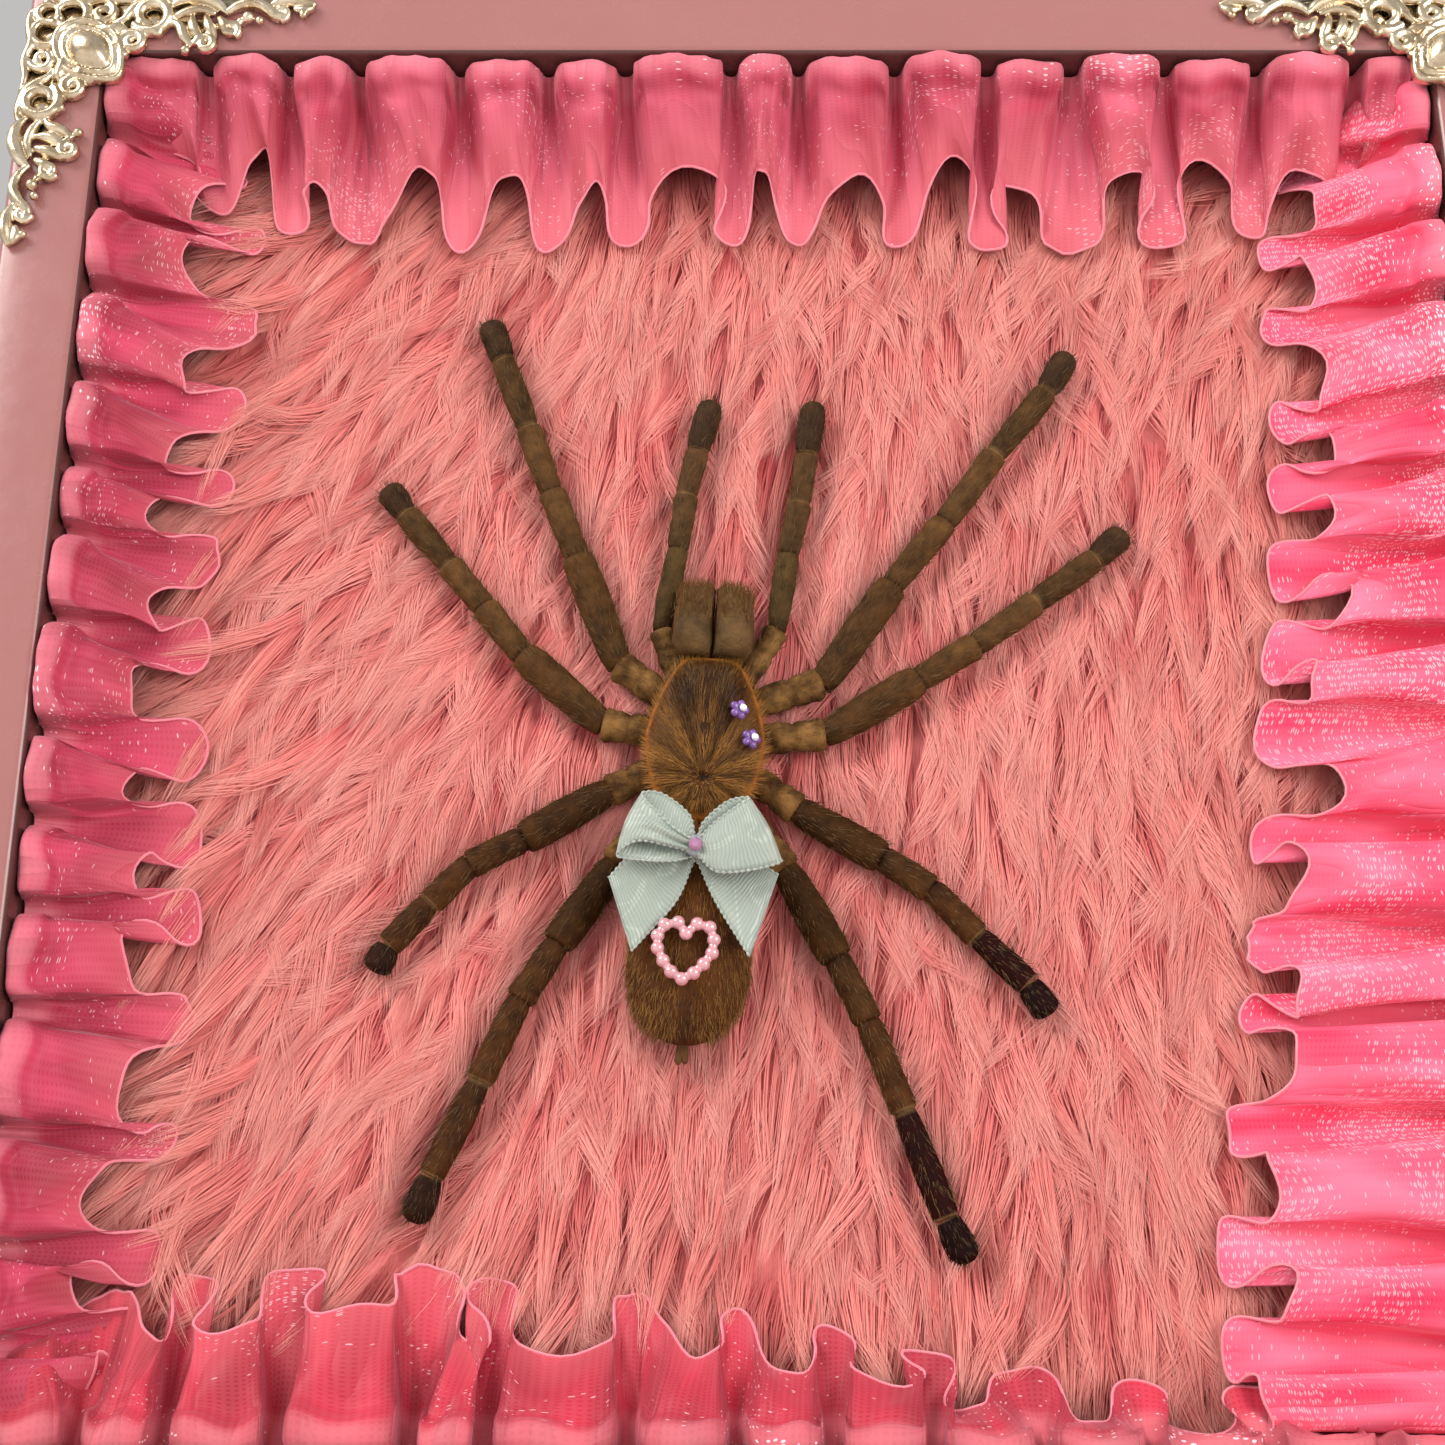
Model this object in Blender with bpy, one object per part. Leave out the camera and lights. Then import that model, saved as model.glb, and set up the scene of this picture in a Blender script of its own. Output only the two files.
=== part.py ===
"""A spread tarantula specimen, dressed with a ribbon bow and gems, in a square shadow-box frame.

The frame stands upright on its bottom rail and faces -Y, with +Z up and +X to the right. The origin
is the middle of the bottom face. Sizes in this file are millimetres; node() turns them into metres.
"""

import math

import bmesh
import bpy
from mathutils import Matrix, Vector

MM = 0.001

# Frame
OPENING = 203.2           # square opening of the frame, an 8 inch size
FACE_WIDTH = 12.7         # width of a rail's face
DEPTH = 30.0              # front face to back face of a rail
EDGE_ROUND = 1.2          # rounding of a rail's front edges
REBATE_WIDTH = 6.0        # step at the back that takes the backing board
REBATE_DEPTH = 6.0
BOARD_THICK = 3.2
GAP = 0.3                 # clearance between pieces that touch

OUTER = OPENING + 2 * FACE_WIDTH
HALF = OUTER / 2
INNER = OPENING / 2
FACE_Y = -DEPTH / 2
BACK_Y = DEPTH / 2
LEDGE_Y = BACK_Y - REBATE_DEPTH
MIDDLE_Z = HALF

# Metal filigree corners
CORNER_ARM = 45.0         # length of each arm from the corner's apex
CORNER_THICK = 1.6
BOSS_RISE = 2.2           # height of the heart-shaped boss over the openwork
CORNER_LIFT = {"top": 3.0, "bottom": 2.4}   # how far the apex sits inside the frame's outline

# Faux fur panel
FUR_SIDE = OPENING - 2 * GAP
FUR_REST = 1.6            # y of the pile where the specimen presses on it
FUR_FREE = -0.4           # y of the lock tips away from the specimen
FUR_EDGE = 3.4            # y of the pile under the ruffle
LOCK_DEPTH = 3.0          # how far the gap between locks falls back
LOCK_VALLEY = 0.7         # share of LOCK_DEPTH that a valley between two locks falls back
LOCK_SWAY = 1.6           # how far a lock strays sideways
LOCK_ROWS = 7
LOCK_COLUMNS = 8
# Rows of points down a lock: share of its length at a valley, share at a ridge, share of LOCK_DEPTH tucked in
LOCK_STATIONS = ((0.16, 0.02, 1.0), (0.46, 0.5, 0.4), (0.76, 0.96, 0.0))

# Organza ruffle
PLEAT_PITCH = 13.6
PLEAT_POINTS = 6
CLOTH_THICK = 0.5
HEADER_IN = 0.9           # the gathered edge stands this far in from the frame's wall
HEADER_Y = -11.6
HEADER_WAVE = 1.2
HEM_Y = -4.8
HEM_WAVE = 3.6            # how far a fold at the hem rises and falls
HEM_SWING = 4.5           # how far the hem swings in and out of its middle line
HEM_LOOP = 1.6            # how far a hem fold leans over its neighbours
RUFFLE_WIDTH = {"top": (24.0, 24.0), "bottom": (20.0, 13.0), "left": (20.0, 22.0), "right": (37.0, 24.0)}

# Specimen: a point is (across, up) from the middle of the carapace
SPECIMEN_X = -9.2
SPECIMEN_Z = 110.8
BODY_TILT = math.radians(3.9)    # the body leans to the right at its head end
CARAPACE_WIDTH = 17.3
CARAPACE_FRONT = 9.7
CARAPACE_REAR = -15.0
CARAPACE_TOP = -7.4       # y of the top of the dome
CARAPACE_RIM = -3.3       # y of the rim
ABDOMEN_WIDTH = 16.7
ABDOMEN_FRONT = -15.4
ABDOMEN_REAR = -46.3
ABDOMEN_WIDEST = 0.64     # share of its length where it is widest
ABDOMEN_THICK = 9.7
BELLY_Y = 1.2             # y of the underside of the body
SPINNERET_Y = -3.4

# A leg's joints run from the tip of its foot: tip, foot, metatarsus, tibia, patella, femur. Its hip is
# set under the rim of the carapace, as (across, along) on the body's own axis.
LEG_JOINTS = {
    "leg_left_1": [(-33.5, 66), (-31.2, 59.2), (-27, 47.6), (-23.2, 36.9), (-19.1, 26.4), (-12.8, 9.6)],
    "leg_left_2": [(-47.8, 38), (-44.7, 33.5), (-37.9, 25.2), (-32.5, 18.5), (-26.7, 11), (-15, 0.5)],
    "leg_left_3": [(-45.7, -35.5), (-43.9, -31.8), (-38.4, -25.8), (-33.1, -20.4), (-25.7, -16.7), (-13.9, -9.6)],
    "leg_left_4": [(-38.7, -69.2), (-36.5, -63.2), (-30.6, -50.6), (-25.5, -39.5), (-20.6, -31.7), (-12.9, -20.4)],
    "leg_right_1": [(55.1, 60.4), (51.3, 53.9), (43.1, 43.2), (35.1, 32), (27.1, 21.9), (16.6, 6.7)],
    "leg_right_2": [(61.7, 30.7), (57.1, 26.2), (48, 19.3), (39, 12.6), (30.6, 7.2), (17, -1.1)],
    "leg_right_3": [(46.9, -41.5), (44.2, -37.2), (37.5, -30.6), (31.2, -23.9), (24.6, -19.5), (12.9, -12.4)],
    "leg_right_4": [(34.6, -74.4), (31.9, -68.7), (26.7, -54.6), (22.1, -42.5), (18, -33.9), (11.2, -21.2)],
}
LEG_HIPS = [(6.0, 4.0), (6.4, -1.2), (6.2, -6.4), (5.0, -11.4)]
LEG_WIDTHS = [4.2, 3.9, 4.0, 4.2, 4.9, 4.4]    # of the foot, metatarsus, tibia, patella, femur and hip
LEG_DEPTHS = [-0.9, -1.1, -1.3, -1.5, -1.7, -1.2, -0.6]    # y of each joint
PALP_JOINTS = {
    "palp_left": [(0.6, 52.4), (-1.5, 43.8), (-3.2, 36.4), (-4.3, 27.8), (-6.6, 15.2)],
    "palp_right": [(16.1, 52.2), (14.9, 43.2), (13.7, 35.1), (11.9, 27), (10.2, 15.2)],
}
PALP_HIP = (5.0, 7.6)
PALP_WIDTHS = [4.1, 3.5, 3.6, 3.3, 3.4]
PALP_DEPTHS = [-0.8, -1.0, -1.2, -1.3, -0.7, 0.1]
LIMB_SIDES = 7

# Trimmings
BOW_CENTRE = (-1.4, -20.4)
BOW_Y = -9.4              # y of the layer of the tails
BOW_LOOP_RISE = 2.4       # how far a loop stands open
RIBBON_THICK = 0.35
STITCH = 1.8              # side of the sewn knot that joins the layers of ribbon
PEARL = 2.0               # diameter of a pearl
PEARL_HEART_Y = -9.9
PEARL_NECK = 0.45         # radius of the plastic between two pearls
FLOWER = 3.2              # diameter of a flower gem
PETALS = 5
FLOWER_SPOTS = {"upper": (4.7, 0.0), "lower": (6.2, -3.9)}
STONE = 1.2               # diameter of the white stone in a flower
BOW_GEM = 2.1
BOW_GEM_BACK = 2.9        # how far the back of the gem stands in front of the tails


def clear_scene():
    for obj in list(bpy.data.objects):
        bpy.data.objects.remove(obj, do_unlink=True)


def material(name, colour, roughness, metallic=0.0):
    """A Principled material, made once for each name."""
    if name in bpy.data.materials:
        return bpy.data.materials[name]
    made = bpy.data.materials.new(name)
    made.use_nodes = True
    shader = made.node_tree.nodes["Principled BSDF"]
    shader.inputs["Base Color"].default_value = (*colour, 1.0)
    shader.inputs["Roughness"].default_value = roughness
    shader.inputs["Metallic"].default_value = metallic
    made.diffuse_color = (*colour, 1.0)
    return made


def painted():
    return material("rose_gloss_paint", (0.60, 0.26, 0.26), 0.15)


def board():
    return material("backing_board", (0.33, 0.21, 0.12), 0.85)


def metal():
    return material("champagne_metal", (0.80, 0.68, 0.48), 0.22, 1.0)


def fur():
    return material("salmon_fur", (0.80, 0.25, 0.22), 0.9)


def organza():
    return material("pink_organza", (0.75, 0.08, 0.17), 0.4)


def chitin():
    return material("brown_chitin", (0.10, 0.055, 0.025), 0.6)


def ribbon():
    return material("aqua_ribbon", (0.50, 0.68, 0.64), 0.5)


def pearl():
    return material("pink_pearl", (0.85, 0.45, 0.52), 0.2)


def lilac():
    return material("lilac_gem", (0.60, 0.25, 0.55), 0.1)


def violet():
    return material("violet_plastic", (0.22, 0.09, 0.38), 0.3)


def crystal():
    return material("white_crystal", (0.92, 0.90, 0.88), 0.05)


def node(name, points, faces, finish, smooth_below=math.radians(40)):
    """One closed body: points in millimetres, faces turned outwards, round stretches shaded smooth."""
    mesh = bpy.data.meshes.new(name)
    mesh.from_pydata([Vector(point) * MM for point in points], [], faces)
    shape = bmesh.new()
    shape.from_mesh(mesh)
    bmesh.ops.recalc_face_normals(shape, faces=shape.faces)
    shape.to_mesh(mesh)
    shape.free()
    mesh.shade_smooth()
    mesh.set_sharp_from_angle(angle=smooth_below)
    mesh.materials.append(finish)
    obj = bpy.data.objects.new(name, mesh)
    bpy.context.scene.collection.objects.link(obj)
    return obj


def loft(rings, joined=False):
    """Points and faces of a skin over rings of equal length, capped at both ends unless joined."""
    count = len(rings[0])
    points = [point for ring in rings for point in ring]
    faces = []
    for row in range(len(rings) if joined else len(rings) - 1):
        start, end = row * count, (row + 1) % len(rings) * count
        for i in range(count):
            j = (i + 1) % count
            faces.append((start + i, start + j, end + j, end + i))
    if not joined:
        faces.append(tuple(reversed(range(count))))
        faces.append(tuple(range(len(points) - count, len(points))))
    return points, faces


def turned(across, up, angle):
    """(across, up) turned clockwise by an angle, as seen from the front."""
    return (across * math.cos(angle) + up * math.sin(angle), up * math.cos(angle) - across * math.sin(angle))


def on_specimen(across, up, y):
    return (SPECIMEN_X + across, y, SPECIMEN_Z + up)


def on_body(across, along, y):
    """A point given along the body's own leaning axis."""
    return on_specimen(*turned(across, along, BODY_TILT), y)


# ---- Frame -------------------------------------------------------------------------------------------

def beside(side, along, out):
    """(across, up) of a point that lies along one side of the frame, at a distance out from its middle."""
    return {"top": (along, out), "bottom": (along, -out), "left": (-out, along), "right": (out, along)}[side]


def rail_profile():
    """The rail's section as (distance from the outer side, y), with rounded front edges and the rebate."""
    turns = [math.radians(30 * step) for step in range(4)]
    outer = [(EDGE_ROUND * (1 - math.cos(turn)), FACE_Y + EDGE_ROUND * (1 - math.sin(turn))) for turn in turns]
    inner = [(FACE_WIDTH - distance, y) for distance, y in reversed(outer)]
    step_in = FACE_WIDTH - REBATE_WIDTH
    return outer + inner + [(FACE_WIDTH, LEDGE_Y), (step_in, LEDGE_Y), (step_in, BACK_Y), (0, BACK_Y)]


def rail(name, side):
    """One mitred rail, on the named side of the frame."""
    rings = []
    for end in (-1, 1):
        ring = []
        for distance, y in rail_profile():
            across, up = beside(side, end * (HALF - distance - GAP / 2), HALF - distance)
            ring.append((across, y, MIDDLE_Z + up))
        rings.append(ring)
    return node(name, *loft(rings), painted(), math.radians(35))


def backing_board():
    half = HALF - (FACE_WIDTH - REBATE_WIDTH) - GAP
    front = LEDGE_Y + GAP
    rings = [[(x * half, y, MIDDLE_Z + z * half) for x, z in ((-1, -1), (1, -1), (1, 1), (-1, 1))]
             for y in (front, front + BOARD_THICK)]
    return node("backing_board", *loft(rings), board())


# ---- Filigree corners --------------------------------------------------------------------------------

# Half of the outline, as (along the arm, in from its outer edge); the other half mirrors it.
CORNER_INNER_EDGE = [(16.4, 11.8), (15.0, 9.8), (16.8, 10.6), (19.2, 9.4), (19.6, 7.0), (22.4, 6.2), (24.4, 7.8),
                     (26.2, 10.6), (29.4, 11.0), (31.8, 8.4), (33.0, 5.4), (36.0, 6.2), (38.8, 5.6), (41.2, 3.6)]
CORNER_TIP = [(CORNER_ARM, 2.8), (44.6, 1.0)]
CORNER_OUTER_EDGE = [(40.4, 1.4), (37.2, 2.4), (33.4, 1.0), (29.0, 0.4), (25.4, 1.8), (21.0, 0.4), (16.4, 0.5),
                     (13.6, 1.8), (9.6, 0.4), (5.0, 0.6)]
BOSS_POINT = (16.0, 16.0)
APEX = (1.6, 1.6)
CORNER_HOLES = [((8.6, 4.6), 2.0), ((17.4, 4.0), 1.7), ((23.4, 3.9), 1.3), ((29.0, 5.4), 2.4), ((36.6, 4.3), 0.8)]
HOLE_SIDES = 5
BOSS_CENTRE = 10.6        # along the diagonal, in each direction
BOSS_LONG = 5.8
BOSS_WIDE = 4.0


def corner_outline():
    half = CORNER_INNER_EDGE + CORNER_TIP + CORNER_OUTER_EDGE
    return [BOSS_POINT] + half + [APEX] + [(y, x) for x, y in reversed(half)]


def openwork(name):
    """The flat openwork plate of a corner in its own plane, apex at the origin, arms along +X and +Y."""
    curve = bpy.data.curves.new(name, "CURVE")
    curve.dimensions = "2D"
    curve.fill_mode = "BOTH"
    curve.extrude = CORNER_THICK / 2 * MM
    outlines = [corner_outline()]
    for (along, inward), radius in CORNER_HOLES:
        for swap in (False, True):
            centre = (inward, along) if swap else (along, inward)
            outlines.append([(centre[0] + radius * math.cos(turn), centre[1] + radius * math.sin(turn))
                             for turn in (math.tau * i / HOLE_SIDES for i in range(HOLE_SIDES))])
    for outline in outlines:
        spline = curve.splines.new("POLY")
        spline.points.add(len(outline) - 1)
        for point, (x, y) in zip(spline.points, outline):
            point.co = (x * MM, y * MM, 0, 1)
        spline.use_cyclic_u = True
    flat = bpy.data.objects.new(name + "_outline", curve)
    plate = bpy.data.meshes.new_from_object(flat)
    bpy.data.objects.remove(flat)
    shape = bmesh.new()
    shape.from_mesh(plate)
    bmesh.ops.remove_doubles(shape, verts=shape.verts, dist=1e-6)
    bmesh.ops.recalc_face_normals(shape, faces=shape.faces)
    shape.to_mesh(plate)
    shape.free()
    return plate


def boss_cutter(name):
    """The raised heart of a corner, a dome drawn out to a point, in the same plane as the openwork."""
    shape = bmesh.new()
    bmesh.ops.create_uvsphere(shape, u_segments=8, v_segments=4, radius=1)
    for vert in shape.verts:
        along, across, up = vert.co
        wide = BOSS_WIDE * (1.0 if along < 0 else 1 - 0.75 * along)
        vert.co = Vector((along * BOSS_LONG, across * wide, up * (CORNER_THICK / 2 + BOSS_RISE) - 0.1)) * MM
    bmesh.ops.rotate(shape, verts=shape.verts, matrix=Matrix.Rotation(math.radians(45), 3, "Z"))
    bmesh.ops.translate(shape, verts=shape.verts, vec=(BOSS_CENTRE * MM, BOSS_CENTRE * MM, 0))
    below = [vert for vert in shape.verts if vert.co.z < -CORNER_THICK / 2 * MM * 0.9]
    for vert in below:
        vert.co.z = -CORNER_THICK / 2 * MM * 0.9
    mesh = bpy.data.meshes.new(name)
    shape.to_mesh(mesh)
    shape.free()
    boss = bpy.data.objects.new(name, mesh)
    boss.hide_render = True
    boss.display_type = "WIRE"
    bpy.context.scene.collection.objects.link(boss)
    return boss


def filigree_corner(name, horizontal, vertical, plate):
    """A corner on the frame's face. horizontal and vertical name the frame corner that it covers."""
    right, top = horizontal == "right", vertical == "top"
    lift = CORNER_LIFT[vertical] * MM
    x_axis = Vector((-1 if right else 1, 0, 0))
    y_axis = Vector((0, 0, -1 if top else 1))
    place = Matrix.Identity(4)
    for row in range(3):
        place[row][0] = x_axis[row]
        place[row][1] = y_axis[row]
    place[1][2] = -1.0
    place[0][3] = (HALF if right else -HALF) * MM
    place[1][3] = (FACE_Y - GAP - CORNER_THICK / 2) * MM
    place[2][3] = (OUTER * MM - lift) if top else lift
    mesh = plate.copy()
    mesh.transform(place)
    boss = boss_cutter(name + "_boss")
    boss.data.transform(place)
    if place.determinant() < 0:
        mesh.flip_normals()
        boss.data.flip_normals()
    mesh.materials.append(metal())
    obj = bpy.data.objects.new(name, mesh)
    bpy.context.scene.collection.objects.link(obj)
    joined = obj.modifiers.new("boss", "BOOLEAN")
    joined.operation = "UNION"
    joined.object = boss
    return obj


# ---- Fur and ruffle ----------------------------------------------------------------------------------

def distance_to_specimen(x, z):
    """How far a point of the panel is from the nearest limb or the body's axis, in the panel's plane."""
    point = Vector((x - SPECIMEN_X, z - SPECIMEN_Z))
    lines = list(LEG_JOINTS.values()) + list(PALP_JOINTS.values())
    lines.append([turned(0, CARAPACE_FRONT, BODY_TILT), turned(0, ABDOMEN_REAR, BODY_TILT)])
    nearest = math.inf
    for line in lines:
        for start, end in zip(line, line[1:]):
            start, end = Vector(start), Vector(end)
            span = end - start
            share = min(1.0, max(0.0, (point - start).dot(span) / span.length_squared))
            nearest = min(nearest, (point - start - share * span).length)
    return nearest


def smooth_step(low, high, value):
    share = min(1.0, max(0.0, (value - low) / (high - low)))
    return share * share * (3 - 2 * share)


def pile_y(x, z):
    """y of the tips of the combed pile: pressed back by the specimen and by the ruffle."""
    free = smooth_step(6.0, 14.0, distance_to_specimen(x, z))
    y = FUR_REST + (FUR_FREE - FUR_REST) * free
    from_wall = INNER - max(abs(x), abs(z - MIDDLE_Z))
    return FUR_EDGE + (y - FUR_EDGE) * smooth_step(14.0, 30.0, from_wall)


def edge_line(up):
    """A straight row of points along the panel's top or bottom edge."""
    columns = 2 * LOCK_COLUMNS
    return [(FUR_SIDE * (column / columns - 0.5), FUR_EDGE + LOCK_DEPTH / 2, MIDDLE_Z + up)
            for column in range(columns + 1)]


def lock_front():
    """Rows of points over the pile. A lock is tucked in at its root and stands proud at its pointed tip."""
    columns = 2 * LOCK_COLUMNS
    front = [edge_line(FUR_SIDE / 2)]
    for row in range(LOCK_ROWS):
        for at_valley, at_ridge, tucked in LOCK_STATIONS:
            line = []
            for column in range(columns + 1):
                across = FUR_SIDE * (column / columns - 0.5)
                valley = (column + row) % 2
                share = at_valley if valley else at_ridge
                up = FUR_SIDE * (0.5 - (row + share) / LOCK_ROWS)
                y = pile_y(across, MIDDLE_Z + up) + LOCK_DEPTH * max(tucked, LOCK_VALLEY * valley)
                if 0 < column < columns:
                    across += LOCK_SWAY * math.sin(2.1 * row + 1.3 * column)
                line.append((across, y, MIDDLE_Z + up))
            front.append(line)
    return front + [edge_line(-FUR_SIDE / 2)]


def fur_panel():
    """The panel of combed pile, a grid of locks closed by its rim and its flat back."""
    front = lock_front()
    rows, width = len(front), len(front[0])
    points = [point for line in front for point in line]
    faces = [(r * width + c, (r + 1) * width + c, (r + 1) * width + c + 1, r * width + c + 1)
             for r in range(rows - 1) for c in range(width - 1)]
    left = [r * width for r in range(rows)]
    bottom = [(rows - 1) * width + c for c in range(1, width)]
    right = [r * width + width - 1 for r in range(rows - 2, -1, -1)]
    top = list(range(width - 2, 0, -1))
    rim = left + bottom + right + top
    back = len(points)
    points += [(points[i][0], LEDGE_Y, points[i][2]) for i in rim]
    for i in range(len(rim)):
        j = (i + 1) % len(rim)
        faces.append((rim[i], back + i, back + j, rim[j]))
    faces.append(tuple(back + i for i in range(len(rim))))
    return node("fur_panel", points, faces, fur(), math.radians(18))


def ruffle(name, side):
    """One gathered length of organza: its header stands by the wall and its hem snakes over the fur."""
    low_end, high_end = RUFFLE_WIDTH[side]
    pleats = round(2 * INNER / PLEAT_PITCH)
    columns = pleats * PLEAT_POINTS
    points = []
    for share, middle_y, wave in ((0.0, HEADER_Y, HEADER_WAVE), (1.0, HEM_Y, HEM_WAVE)):
        for column in range(columns + 1):
            run = column / columns
            phase = math.tau * pleats * run
            reach = low_end + (high_end - low_end) * run
            inward = HEADER_IN + (reach - HEADER_IN) * share - share * HEM_SWING * math.cos(phase)
            room = INNER - inward - 2 * GAP
            along = room * (2 * run - 1) + share * HEM_LOOP * math.sin(phase)
            along = max(-room, min(room, along))
            across, up = beside(side, along, INNER - inward)
            points.append((across, middle_y - wave * math.cos(phase), MIDDLE_Z + up))
    faces = [(c, c + 1, columns + c + 2, columns + c + 1) for c in range(columns)]
    obj = node(name, points, faces, organza(), math.radians(60))
    wall = obj.modifiers.new("cloth", "SOLIDIFY")
    wall.thickness = CLOTH_THICK * MM
    wall.offset = 0.0
    return obj


# ---- Specimen ----------------------------------------------------------------------------------------

def limb_ring(centre, direction, wide, thick):
    """A ring of points round a limb, across its direction."""
    side = direction.cross(Vector((0, 1, 0))).normalized()
    front = side.cross(direction).normalized()
    ring = []
    for i in range(LIMB_SIDES):
        turn = math.tau * (i + 0.5) / LIMB_SIDES
        ring.append(tuple(centre + side * (wide / 2 * math.cos(turn)) + front * (thick / 2 * math.sin(turn))))
    return ring


def hip(name):
    """Where a limb leaves the body, under the rim of the carapace. A leg's name ends in its number."""
    hand = -1 if "left" in name else 1
    across, along = LEG_HIPS[int(name[-1]) - 1] if name.startswith("leg") else PALP_HIP
    return turned(hand * across, along, BODY_TILT)


def limb(name, joints, widths, depths):
    """A leg or palp: each segment starts narrow, swells, and flares over the start of the next."""
    spots = [Vector(on_specimen(*joint, y)) for joint, y in zip(joints, depths)]
    rings = []
    for index, (tip_end, body_end) in enumerate(zip(spots, spots[1:])):
        direction = (tip_end - body_end).normalized()
        width = widths[index]
        if index == 0:
            stations = ((0.0, 0.45), (0.12, 0.86), (0.45, 1.0), (0.97, 0.8))
        elif index == len(widths) - 1:
            stations = ((0.06, 1.0), (1.0, 0.72))
        elif index in (1, 4):
            stations = ((0.04, 0.96), (0.5, 1.0), (0.97, 0.74))
        else:
            stations = ((0.05, 1.0), (0.96, 0.82))
        for share, part in stations:
            centre = tip_end.lerp(body_end, share)
            rings.append(limb_ring(centre, direction, width * part, width * part * 0.84))
    return node(name, *loft(rings), chitin())


def carapace_outline(turn):
    """(across, along) on the rim at an angle: rounded behind, narrower and blunt in front."""
    middle = (CARAPACE_FRONT + CARAPACE_REAR) / 2
    reach = (CARAPACE_FRONT - CARAPACE_REAR) / 2
    across = math.copysign(abs(math.cos(turn)) ** 0.8, math.cos(turn)) * CARAPACE_WIDTH / 2
    along = math.copysign(abs(math.sin(turn)) ** 0.8, math.sin(turn)) * reach
    across *= 1 - 0.24 * max(0.0, along / reach) - 0.12 * max(0.0, -along / reach)
    return across, middle + along


def carapace_y(share, along):
    """y of the dome at a share of the way from its middle to its rim, higher over the head."""
    dome = CARAPACE_RIM + (CARAPACE_TOP - CARAPACE_RIM) * math.sqrt(max(0.0, 1 - share * share))
    head = smooth_step(-2.0, 4.0, along) * smooth_step(0.95, 0.5, share)
    return dome - 0.7 * head


def carapace():
    sides = 18
    middle = (CARAPACE_FRONT + CARAPACE_REAR) / 2
    under = (0.56, 0.6, 0.96)
    under_y = (BELLY_Y, -2.3, -2.6)
    rings = []
    for share, y in zip(under, under_y):
        rings.append([on_body(a * share, middle + (b - middle) * share, y)
                      for a, b in (carapace_outline(math.tau * i / sides) for i in range(sides))])
    for share in (1.0, 0.9, 0.68, 0.4, 0.14):
        ring = []
        for i in range(sides):
            across, along = carapace_outline(math.tau * i / sides)
            along = middle + (along - middle) * share
            ring.append(on_body(across * share, along, carapace_y(share, along)))
        rings.append(ring)
    return node("carapace", *loft(rings), chitin())


def abdomen():
    """An egg lying on its belly, widest behind its middle, narrowing to the waist in front."""
    sides = 12
    middle_y = BELLY_Y - ABDOMEN_THICK / 2
    rings = []
    for t in (0.02, 0.1, 0.24, 0.42, ABDOMEN_WIDEST, 0.8, 0.9, 0.965, 0.995):
        from_widest = (ABDOMEN_WIDEST - t) / ABDOMEN_WIDEST if t < ABDOMEN_WIDEST else (
            (t - ABDOMEN_WIDEST) / (1 - ABDOMEN_WIDEST))
        swell = math.sqrt(1 - from_widest * from_widest)
        along = ABDOMEN_FRONT + (ABDOMEN_REAR - ABDOMEN_FRONT) * t
        rings.append([on_body(ABDOMEN_WIDTH / 2 * swell * math.cos(turn), along,
                              middle_y + ABDOMEN_THICK / 2 * swell * math.sin(turn))
                      for turn in (math.tau * i / sides for i in range(sides))])
    return node("abdomen", *loft(rings), chitin())


def spinnerets():
    """The short blunt finger behind the abdomen."""
    start = ABDOMEN_REAR - GAP
    stations = ((start, 1.9), (start - 1.0, 1.7), (start - 2.3, 0.9))
    rings = [[on_body(width / 2 * math.cos(turn), along, SPINNERET_Y + width / 2 * math.sin(turn))
              for turn in (math.tau * i / 6 for i in range(6))] for along, width in stations]
    return node("spinnerets", *loft(rings), chitin())


def chelicera(name, hand):
    """One of the two jaws, a barrel with a flat inner side and a blunt bristly front."""
    inner, outer = hand * GAP / 2, hand * 5.9
    rings = []
    for along, share, front, back in ((10.1, 0.92, -6.2, -0.4), (12.6, 1.0, -7.0, 0.4), (16.0, 0.98, -7.0, 0.9),
                                      (18.8, 0.88, -6.2, 0.9), (20.6, 0.62, -4.6, 0.2)):
        middle_y, half_y = (front + back) / 2, (back - front) / 2
        edge = inner + (outer - inner) * share
        ring = [(inner, middle_y - half_y * 0.7), (inner + (edge - inner) * 0.45, middle_y - half_y),
                (inner + (edge - inner) * 0.85, middle_y - half_y * 0.62), (edge, middle_y),
                (inner + (edge - inner) * 0.85, middle_y + half_y * 0.62),
                (inner + (edge - inner) * 0.45, middle_y + half_y), (inner, middle_y + half_y * 0.7)]
        rings.append([on_body(across, along, y) for across, y in ring])
    return node(name, *loft(rings), chitin())


# ---- Bow, pearls and gems ----------------------------------------------------------------------------

def ribbon_strip(name, stations, joined=False):
    """A strip of ribbon. Each station is ((across, up, y) of one edge, (across, up, y) of the other)."""
    points = []
    for first, last in stations:
        for share in (0.0, 0.5, 1.0):
            across, up, y = (a + (b - a) * share for a, b in zip(first, last))
            points.append(on_specimen(BOW_CENTRE[0] + across, BOW_CENTRE[1] + up, y))
    count = len(stations)
    faces = []
    for row in range(count if joined else count - 1):
        here, there = row * 3, (row + 1) % count * 3
        for edge in (0, 1):
            faces.append((here + edge, here + edge + 1, there + edge + 1, there + edge))
    obj = node(name, points, faces, ribbon())
    cloth = obj.modifiers.new("cloth", "SOLIDIFY")
    cloth.thickness = RIBBON_THICK * MM
    cloth.offset = 0.0
    return obj


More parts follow.
